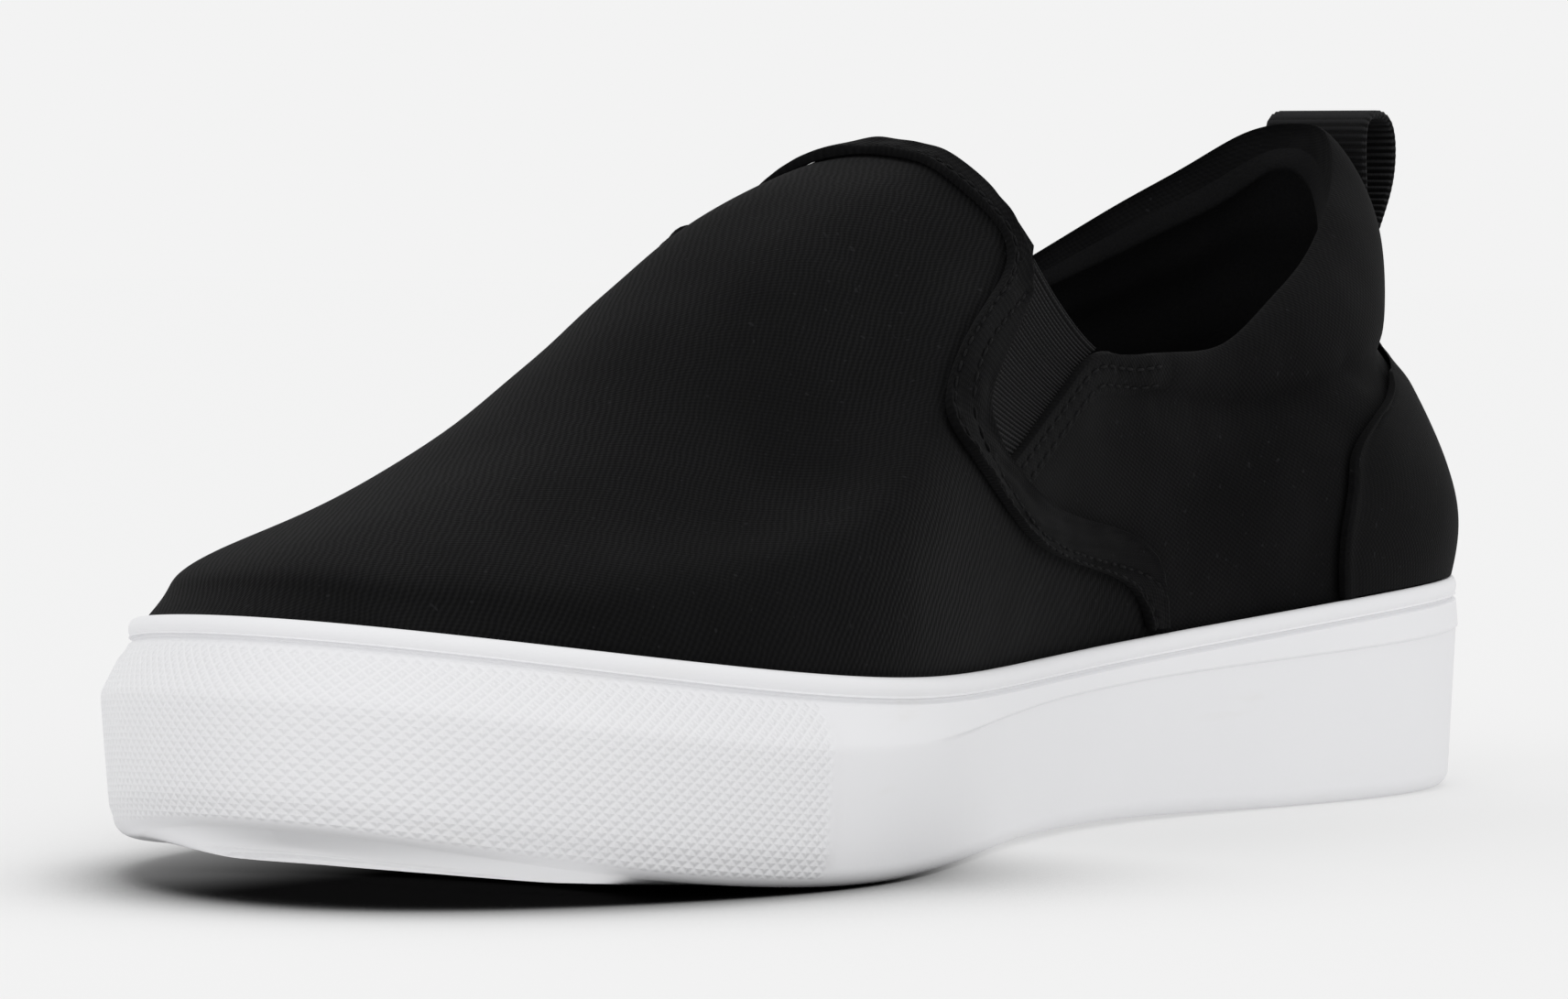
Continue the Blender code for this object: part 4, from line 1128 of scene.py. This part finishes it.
def build_stitches(name, rows):
    points, faces = [], []
    for line, out in rows:
        more, more_faces = stitch_row(line, out)
        faces += [[len(points) + i for i in face] for face in more_faces]
        points += more
    return tidy(make(name, points, faces, finishes=[thread]), angle=60)


def build_band():
    """The folded band, with a rounded section, a step behind its first stitch row and puckered dips."""
    t, h = between(BAND_FRONT, BAND_REAR, close_at_ends(25))
    panel = Panel(t, h)
    wide = smooth_step(panel.width, 0.0045, 0.0070)
    first, second = 0.0013, 0.0058
    low_part = wide * smooth_step(panel.from_front, 0.0018, 0.0026) * 0.00015
    dip = bell(panel.from_front - first, 0.00050) * 0.00034
    dip = dip + wide * bell(panel.from_front - second, 0.00050) * 0.00032
    pucker = 0.6 + 0.4 * np.cos(2 * np.pi * panel.run / STITCH_PITCH)[:, None]
    edge = np.minimum(rounded(panel.from_front, EDGE_ROUND), rounded(panel.from_rear, EDGE_ROUND))
    along = panel.run[:, None]
    lumps = (BAND_LUMPS * np.sin(along / 0.0021 + 2.0 * np.sin(along / 0.0057))
             * np.sin(panel.from_front / 0.0013 + along / 0.009))
    lumps = lumps + 0.00010 * np.sin(along / 0.0047 + panel.from_front / 0.0025)
    lip = 0.00020 * bell(panel.from_front - 0.0004, 0.0008) + 0.00022 * bell(panel.from_rear - 0.0005, 0.0007)
    top = BAND_THICKNESS + lip + lumps - low_part - dip * pucker
    outer = GAP + 0.0001 + (top - 0.0001) * edge
    inner = GAP - 0.0002 * edge
    band = panel.plate("vamp_band", inner, outer, bias=math.radians(35), finishes=[band_twill])
    rows = [panel.line_at(first, outer)]
    widths = panel.width[:, 0]
    for side_rows in (np.arange(len(t)) < 0.36 * len(t), np.arange(len(t)) > 0.64 * len(t)):
        kept = side_rows & (widths > 0.0072)
        line, out = panel.line_at(second, outer)
        rows.append((line[kept], out[kept]))
    return band, build_stitches("band_stitches", rows)


def build_gore(name, side):
    """The elastic, set back in the notch, with ribs that run with its straight top edge."""
    front, rear = edges_of(GORE, side, 200)
    t, h = between(front, rear, np.linspace(0, 1, 25))
    h = np.minimum(h, 0.985)
    panel = Panel(t, h)
    rib = 0.00010 * np.sin(2 * np.pi * panel.run / ELASTIC_RIB)[:, None]
    selvedge = 0.00025 * bell(panel.run - 0.0008, 0.0006)[:, None]
    middle = -0.5 * CANVAS_WALL
    slack = -0.0004 * np.sin(np.pi * np.linspace(0, 1, 25))[None, :]
    outer = middle + 0.5 * GORE_THICKNESS + rib + selvedge + slack
    inner = middle - 0.5 * GORE_THICKNESS + slack
    return panel.plate(name, inner, outer, finishes=[elastic])


def hem_path(side):
    """The quarter's edge: up beside the elastic, round the corner and back along the top edge."""
    path = open_spline(path_on_upper(HEM, side), 400)
    path[:, 1] = np.clip(path[:, 1], 0, 1)
    length = lengths(upper_surface(path[:, 0], path[:, 1]))
    even = np.linspace(0, length[-1], 170)
    return np.column_stack([np.interp(even, length, path[:, k]) for k in range(2)])


def build_hem(side):
    """The turned edge of the quarter with its two stitch rows, fading into the cloth behind it."""
    path = hem_path(side)
    columns = [step_aside(path, -0.0006, side), step_aside(path, -0.0003, side), path]
    offsets = np.array([0, 4, 8, 12, 17, 22, 28, 34, 40, 46, 52, 56]) * 1e-4
    for gap in np.diff(offsets):
        here = columns[-1]
        for _ in range(4):
            here = step_aside(here, gap / 4, side)
            here[1:-1] = 0.25 * here[:-2] + 0.5 * here[1:-1] + 0.25 * here[2:]
        columns.append(here)
    t = np.stack([c[:, 0] for c in columns], axis=1)
    h = np.clip(np.stack([c[:, 1] for c in columns], axis=1), 0, 1)
    panel = Panel(t, h)
    run = np.linspace(0, 1, len(t))[:, None]
    ends = smooth_step(run, 0, 0.04) * smooth_step(1 - run, 0, 0.12)
    pucker = 0.6 + 0.4 * np.cos(2 * np.pi * panel.run / STITCH_PITCH)[:, None]
    dips = 0.00018 * (bell(panel.from_front - 0.0019, 0.00045) + bell(panel.from_front - 0.0044, 0.00045))
    body = 0.00050 * rounded(panel.from_front, EDGE_ROUND) * smooth_step(panel.from_rear, 0.0, 0.0012)
    outer = (body - dips * pucker) * ends + 0.00005 - 0.0002 * smooth_step(0.0008 - panel.from_rear, 0, 0.0008)
    inner = np.full(t.shape, -0.0006)
    name = "left" if side > 0 else "right"
    hem = panel.plate(f"quarter_hem_{name}", inner, outer, bias=math.radians(50), finishes=[quarter_twill])
    rows = [panel.line_at(0.0019, outer), panel.line_at(0.0044, outer)]
    rows = [(line[6:-10], out[6:-10]) for line, out in rows]
    return hem, build_stitches(f"hem_stitches_{name}", rows)


def build_counter():
    """The heel patch with its folded side edges, each under 2 mm wide."""
    share = np.concatenate([
        -1 + 0.12 * close_at_ends(13),
        np.linspace(-0.84, 0.84, 61),
        1 - 0.12 * close_at_ends(13)[::-1],
    ])
    t, h = counter_grid(share)
    panel = Panel(t, h)
    edge_distance = np.minimum(panel.from_front, panel.from_rear)
    fold = 0.00022 * (1 - smooth_step(edge_distance, 0.0013, 0.0020))
    groove = 0.00010 * bell(edge_distance - 0.0021, 0.0006)
    sides = rounded(edge_distance, EDGE_ROUND)
    up = lengths(panel.points, axis=0)
    ends = rounded(up[-1:] - up, EDGE_ROUND)
    thin = 0.30 + 0.70 * smooth_step(up[-1:] - up, 0.0, 0.009)
    outer = GAP + 0.0001 + (COUNTER_THICKNESS * thin - 0.0001 + fold - groove) * np.minimum(sides, ends)
    inner = np.full(t.shape, 1.0 * GAP)
    patch = panel.plate("heel_patch", inner, outer, bias=math.radians(60), finishes=[counter_twill])
    return patch


# The ribbon loop seen from the side, from where it leaves the collar round to where it comes back
LOOP_SHAPE = (
    (0.02, 0.00),
    (-0.04, 0.35),
    (-0.10, 0.70),
    (-0.02, 0.93),
    (0.30, 1.00),
    (0.70, 0.97),
    (0.92, 0.80),
    (0.88, 0.52),
    (0.60, 0.26),
    (0.22, 0.00),
)


def build_loop():
    """The pull loop of ribbed ribbon."""
    heel = upper_surface(np.zeros(200), np.linspace(0.3, 1, 200))
    base = RIM_HEIGHTS[0] + 0.73 * HEEL_HEIGHT
    back = np.interp(base, heel[:, 2], heel[:, 0]) - GAP - 0.5 * RIBBON_THICKNESS
    line = open_spline([(back - b * LOOP_DEPTH, base + u * LOOP_HEIGHT) for b, u in LOOP_SHAPE], 420)
    run = np.gradient(line, axis=0)
    run /= np.linalg.norm(run, axis=1, keepdims=True)
    side = np.column_stack([-run[:, 1], run[:, 0]])
    length = lengths(line)
    rib = 0.00034 * (np.abs(np.sin(np.pi * length / RIB_PITCH)) - 0.8)
    across = LOOP_WIDTH * (close_at_ends(11) - 0.5)
    sections = []
    for sign, order in ((1, across), (-1, across[::-1])):
        half = 0.5 * RIBBON_THICKNESS + rib
        edge = rounded(0.5 * LOOP_WIDTH - np.abs(order), 0.0005) * 0.75 + 0.25
        offset = sign * half[:, None] * edge[None, :]
        spot = line[:, None, :] + side[:, None, :] * offset[..., None]
        x = np.broadcast_to(order, offset.shape)
        sections.append(np.stack([spot[..., 0], x, spot[..., 1]], axis=-1))
    sections = np.concatenate(sections, axis=1)
    u = np.broadcast_to(length[:, None], sections.shape[:2])
    v = np.broadcast_to(np.concatenate([across, across[::-1]])[None, :], sections.shape[:2])
    cloth = np.stack([u, v], axis=-1)
    cloth = np.concatenate([cloth, cloth[:, :1]], axis=1)
    return tube("ribbon_loop", sections, cloth, finishes=[grosgrain])


def sole_profile(t):
    """Rows down the sole's wall: out from the feather line and height, for each place round it."""
    feather = FEATHER(t)
    rim, along = feather[:, 2], feather[:, 0]
    share = along / UPPER_LENGTH
    rim_high = RIM_HEIGHT * (0.84 - 0.12 * smooth_step(share, 0.80, 1.0))
    crest = SIDE_CREST_OUT + (TOE_CREST_OUT - SIDE_CREST_OUT) * smooth_step(share, 0.55, 0.93)
    drop = CREST_DROP * (0.78 - 0.20 * smooth_step(share, 0.1, 0.4) + 0.42 * smooth_step(share, 0.45, 0.85))
    bottom = bottom_height(along)
    bump = BUMPER_RAISE * smooth_step(share, 0.777, 0.783)
    rows = [(GAP + 0 * rim, floor_height(along)), (GAP + 0 * rim, rim - 0.26 * rim_high)]
    roll_out, roll_high = 0.5 * (RIM_OUT - GAP), 0.55 * rim_high
    for angle in np.linspace(150, -40, 12):
        out = GAP + roll_out * (1 + math.cos(math.radians(angle)))
        rows.append((out + 0 * rim, rim - 0.50 * rim_high + roll_high * math.sin(math.radians(angle))))
    low = rim - rim_high
    for out, down in ((-0.10, 0.02), (-0.6, 0.10), (-1.0, 0.30), (-1.0, 0.62), (-0.55, 0.90), (-0.08, 1.05)):
        rows.append((RIM_OUT + out * GROOVE_DEPTH + 0 * rim, low - down * GROOVE_WIDTH + 0.2 * GROOVE_WIDTH))
    start = low - GROOVE_WIDTH
    for part in (0.12, 0.3, 0.5, 0.7, 0.85, 0.93):
        lift = bump * smooth_step(part, 0.05, 0.3)
        rows.append((RIM_OUT + (crest - RIM_OUT) * part + lift, start + (rim - drop - start) * part))
    rows.append((crest + bump + 0.00003, rim - drop))
    step = STEP_DEPTH * (1 - smooth_step(share, 0.60, 0.72))
    for part, down in ((0.06, 0.4), (0.5, 0.9), (1.0, 1.3), (1.0, 2.4)):
        rows.append((crest + bump - part * step, rim - drop - down * STEP_DEPTH))
    wall_top, wall_low = rim - drop - 3 * STEP_DEPTH, bottom + EDGE_RADIUS
    for part in (0.08, 0.2, 0.35, 0.5, 0.65, 0.8, 0.92, 1.0):
        taper = step + (SIDE_TAPER - step) * part
        fade = bump * (1 - smooth_step(part, 0.90, 1.0))
        rows.append((crest + fade - taper, wall_top + (wall_low - wall_top) * part))
    for angle in np.linspace(0, 90, 9)[1:]:
        a = math.radians(angle)
        out = crest - SIDE_TAPER - EDGE_RADIUS * (1 - math.cos(a))
        rows.append((out, bottom + EDGE_RADIUS * (1 - math.sin(a))))
    rows = np.array(rows)
    soft = smooth_step(share, 0.64, 0.76)
    for _ in range(7):
        middle = 0.25 * rows[21:32] + 0.5 * rows[22:33] + 0.25 * rows[23:34]
        rows[22:33] += (middle - rows[22:33]) * soft
    return rows


def tread_relief(points):
    """How deep the underside is cut at its points: curved grooves, each with a shallow groove beside it."""
    share_along, across = points[..., 0] / UPPER_LENGTH, points[..., 1] / BALL_WIDTH
    depth = np.zeros(points.shape[:-1])
    half = 0.5 * TREAD_WIDTH / UPPER_LENGTH
    for along, reach, middle, bow in TREAD_GROOVES:
        place = (across - middle) / reach
        line = along + bow * (1 - place**2)
        near = 1 - smooth_step(np.abs(share_along - line), 0.7 * half, 1.25 * half)
        inside = 1 - smooth_step(np.abs(place), 0.97, 1.02)
        depth = np.maximum(depth, near * inside * TREAD_DEPTH)
        ripple = np.abs(share_along - line - 2.6 * half)
        fine = ((1 - smooth_step(ripple, 0.10 * half, 0.45 * half))
                * (1 - smooth_step(np.abs(place), 0.86, 0.92)))
        depth = np.maximum(depth, fine * 0.35 * TREAD_DEPTH)
    return depth


def build_sole():
    """The cup sole: rim roll, groove, sloping band, wall with its toe bumper, and the tread under it."""
    dense = np.linspace(0, 1, 6001)
    length = lengths(FEATHER(dense)[:, :2])
    toe = np.interp(TOE_T, dense, length)
    half = ROUND_SOLE // 2
    share = np.linspace(0, 1, half + 1)
    share = share - 0.25 * np.sin(2 * np.pi * share) / (2 * np.pi)
    near = np.interp(share * toe, length, dense)
    far = np.interp(toe + (1 - share[1:-1][::-1]) * (length[-1] - toe), length, dense)
    t = np.concatenate([near, far])
    rings = np.stack([wall_ring(t, out, height) for out, height in sole_profile(t)])
    rows, columns = rings.shape[:2]
    points = [rings.reshape(-1, 3)]
    ids = np.arange(rows * columns).reshape(rows, columns)
    wall_faces, at_row, at_column = grid_faces(ids, wrap_columns=True)
    faces = wall_faces.tolist()
    run = np.append(lengths(FEATHER(t)[:, :2]), length[-1])
    down = lengths(rings, axis=0)
    v = down - down[20]
    cloth = [np.stack([run[at_column], v[at_row, at_column % columns]], axis=-1).reshape(-1, 2)]
    share_round = np.append(FEATHER(t)[:, 0], FEATHER(t)[0, 0]) / UPPER_LENGTH
    bumper_of = smooth_step(share_round, 0.782, 0.790)[at_column]
    first, last = 19, rows - 6
    row_numbers = np.arange(rows)
    level = (smooth_step(row_numbers, first - 0.5, first + 1.5)
             * (1 - smooth_step(row_numbers, last - 1.5, last)))
    bumper = [(bumper_of * level[at_row]).reshape(-1)]
    total = rows * columns
    caps = ((0, 3, floor_height, None), (rows - 1, 47, bottom_height, tread_relief))
    for row, inner, height_of, relief in caps:
        ring = rings[row]
        across = np.linspace(0, 1, inner + 2)[1:-1, None]
        lines = []
        for i in range(1, half):
            line = ring[i] + (ring[-i] - ring[i]) * across
            line[:, 2] = height_of(line[:, 0])
            if relief is not None:
                edge_fade = np.minimum(across, 1 - across)[:, 0] * np.linalg.norm(ring[i] - ring[-i])
                crown = (TOE_CROWN * smooth_step(line[:, 0] / UPPER_LENGTH, 0.76, 0.92)
                         * smooth_step(edge_fade, 0, 0.016))
                cut = relief(line) * smooth_step(edge_fade, 0.001, 0.003)
                line[:, 2] = np.maximum(line[:, 2] - crown, 0) + cut
            lines.append(line)
        lines = np.array(lines)
        points.append(lines.reshape(-1, 3))
        inner_ids = total + np.arange(lines.shape[0] * inner).reshape(-1, inner)
        total += lines.shape[0] * inner
        full = np.column_stack([ids[row, 1:half], inner_ids, ids[row, -1:-half:-1]])
        patch = grid_faces(full)[0].tolist()
        for end, line_ids in ((ids[row, 0], full[0]), (ids[row, half], full[-1])):
            patch += [[int(end), int(a), int(b)] for a, b in zip(line_ids, line_ids[1:])]
        faces += patch
        corners = sum(len(f) for f in patch)
        cloth.append(np.zeros((corners, 2)))
        bumper.append(np.zeros(corners))
    sole = make("cup_sole", np.concatenate(points), faces, np.concatenate(cloth), [rubber])
    attribute = sole.data.attributes.new("bumper", "FLOAT", "CORNER")
    attribute.data.foreach_set("value", np.concatenate(bumper).astype(np.float32))
    return tidy(sole, angle=50)


def build_insole():
    """The crowned foam insole in the cup."""
    t = spread_round(240)
    base = floor_height(FEATHER(t)[:, 0]) + GAP
    inset = CANVAS_WALL + GAP
    rings = [wall_ring(t, -inset, base)]
    for angle in np.linspace(0, 90, 6):
        a = math.radians(angle)
        out = inset + 0.0015 * (1 - math.cos(a))
        rings.append(wall_ring(t, -out, base + INSOLE_THICKNESS - 0.0015 * (1 - math.sin(a))))
    middle_line = np.column_stack([0.10 * UPPER_LENGTH + 0.80 * FEATHER(t)[:, 0], np.zeros(len(t))])
    edge = rings[-1]
    for part in (0.06, 0.15, 0.3, 0.5, 0.7, 0.85, 0.95):
        ring = edge.copy()
        ring[:, :2] += (middle_line - edge[:, :2]) * part
        crown = 0.0009 * (1 - (1 - part) ** 2)
        ring[:, 2] = floor_height(ring[:, 0]) + GAP + INSOLE_THICKNESS + crown
        rings.append(ring)
    rings = np.stack(rings)
    rows, columns = rings.shape[:2]
    ids = np.arange(rows * columns).reshape(rows, columns)
    faces = grid_faces(ids, wrap_columns=True)[0].tolist()
    half = columns // 2
    for row in (0, rows - 1):
        for k in range(half):
            quad = [
                ids[row, k], ids[row, k + 1],
                ids[row, (columns - k - 1) % columns], ids[row, -k % columns],
            ]
            quad = list(dict.fromkeys(int(q) for q in quad))
            if len(quad) > 2:
                faces.append(quad)
    return tidy(make("foam_insole", rings.reshape(-1, 3), faces, finishes=[foam]), angle=50)


upper = build_upper()
sole = build_sole()
band, band_stitches = build_band()
gore_left, gore_right = build_gore("elastic_left", 1), build_gore("elastic_right", -1)
hem_left, hem_left_stitches = build_hem(1)
hem_right, hem_right_stitches = build_hem(-1)
patch = build_counter()
loop = build_loop()
insole = build_insole()

for piece, node, slot_name in (
    (upper, "upper", "black_twill"),
    (sole, "sole", "white_rubber"),
    (band, "vamp_binding", "black_binding"),
    (gore_left, "gore_left", "grey_elastic"),
    (gore_right, "gore_right", "grey_elastic"),
    (patch, "heel_counter", "black_counter"),
    (loop, "pull_loop", "black_ribbon"),
    (insole, "insole", "black_insole"),
):
    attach(piece, "root")
    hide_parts(node)
for piece in (band_stitches, hem_left, hem_left_stitches, hem_right, hem_right_stitches):
    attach(piece, "root")


# The photograph's camera: low, from in front of the big toe side
AZIMUTH, ELEVATION, ROLL = math.radians(35.02), math.radians(2.35), math.radians(0.42)
CAMERA_DISTANCE = 0.8791
LENS = 151.51
TARGET = Vector(to_frame([0.1416, 0.0, 0.0450]))


def add_camera():
    back = Vector((
        math.sin(AZIMUTH) * math.cos(ELEVATION),
        -math.cos(AZIMUTH) * math.cos(ELEVATION),
        math.sin(ELEVATION),
    ))
    right = Vector((math.cos(AZIMUTH), math.sin(AZIMUTH), 0))
    up = back.cross(right)
    turned_right = right * math.cos(ROLL) + up * math.sin(ROLL)
    turned_up = up * math.cos(ROLL) - right * math.sin(ROLL)
    data = bpy.data.cameras.new("camera")
    data.lens = LENS
    data.sensor_width = 36
    data.clip_start = 0.01
    data.clip_end = 100
    camera = bpy.data.objects.new("camera", data)
    turn = Matrix((turned_right, turned_up, back)).transposed().to_4x4()
    camera.matrix_world = Matrix.Translation(TARGET + back * CAMERA_DISTANCE) @ turn
    bpy.context.scene.collection.objects.link(camera)
    bpy.context.scene.camera = camera


def add_backdrop():
    """A wide round floor that gives off some light. Part of the shadow is painted: a mask by place keeps
    it mostly under the toe half, in full on the big toe's side and at half strength on the other."""
    around = np.linspace(0, 2 * math.pi, 97)[:-1]
    rings = np.array([[(r * math.cos(a), r * math.sin(a), 0) for a in around] for r in (0.4, 1.0, 2.5, 9.0)])
    ids = np.arange(rings.shape[0] * 96).reshape(-1, 96)
    faces = grid_faces(ids, wrap_columns=True)[0].tolist() + [ids[0, ::-1].tolist()]
    mesh = bpy.data.meshes.new("backdrop")
    mesh.from_pydata(rings.reshape(-1, 3).tolist(), [], [face[::-1] for face in faces])
    finish = Finish("studio_paper", 0.95, Specular_IOR_Level=0.0)
    open_sky = finish.node("ShaderNodeAmbientOcclusion", {"samples": 12}, Distance=0.075, output=1)
    split = finish.node("ShaderNodeSeparateXYZ", {}, finish.place())
    under_toe = (0 - split.part("Y")).ramp(0.005, 0.060) * (split.part("X").ramp(-0.060, -0.006) * 0.5 + 0.5)
    shade = (1.0 - open_sky.ramp(0.30, 0.93)) * (under_toe * 0.92 + 0.08)
    finish.paint(finish.mix(shade, (0.45, 0.45, 0.45), (0.006, 0.006, 0.006)))
    finish.feed(finish.shader.inputs["Emission Color"], finish.mix(shade, (0.446, 0.446, 0.446), (0, 0, 0)))
    finish.feed(finish.shader.inputs["Emission Strength"], 1.0)
    mesh.materials.append(finish.material)
    backdrop = bpy.data.objects.new("backdrop", mesh)
    bpy.context.scene.collection.objects.link(backdrop)


def add_sun(strength, azimuth, height, spread):
    """A broad light from azimuth and height, in degrees, azimuth from the toe's side towards +X."""
    data = bpy.data.lights.new("front_light", "SUN")
    data.energy = strength
    data.angle = math.radians(spread)
    light = bpy.data.objects.new("front_light", data)
    a, h = math.radians(azimuth), math.radians(height)
    towards = Vector((math.sin(a) * math.cos(h), -math.cos(a) * math.cos(h), math.sin(h)))
    light.rotation_mode = "QUATERNION"
    light.rotation_quaternion = towards.to_track_quat("Z", "Y")
    bpy.context.scene.collection.objects.link(light)


def add_fill(name, place, size, power):
    """A small panel on the floor that shines up and isn't seen itself."""
    data = bpy.data.lights.new(name, "AREA")
    data.shape = "ELLIPSE"
    data.size, data.size_y = size
    data.energy = power
    light = bpy.data.objects.new(name, data)
    light.location = place
    light.rotation_euler = (math.pi, 0, math.radians(10))
    light.visible_camera = False
    bpy.context.scene.collection.objects.link(light)


def add_world(strength):
    world = bpy.data.worlds.new("studio")
    world.use_nodes = True
    background = world.node_tree.nodes["Background"]
    background.inputs["Color"].default_value = (1.0, 1.0, 1.0, 1.0)
    background.inputs["Strength"].default_value = strength
    bpy.context.scene.world = world


add_camera()
add_backdrop()
add_world(0.896)
add_sun(0.42, azimuth=32, height=48, spread=80)
add_fill("under_toe", (0.004, -0.108, 0.0004), (0.070, 0.036), 0.0050)
bpy.context.scene.view_settings.view_transform = "Standard"
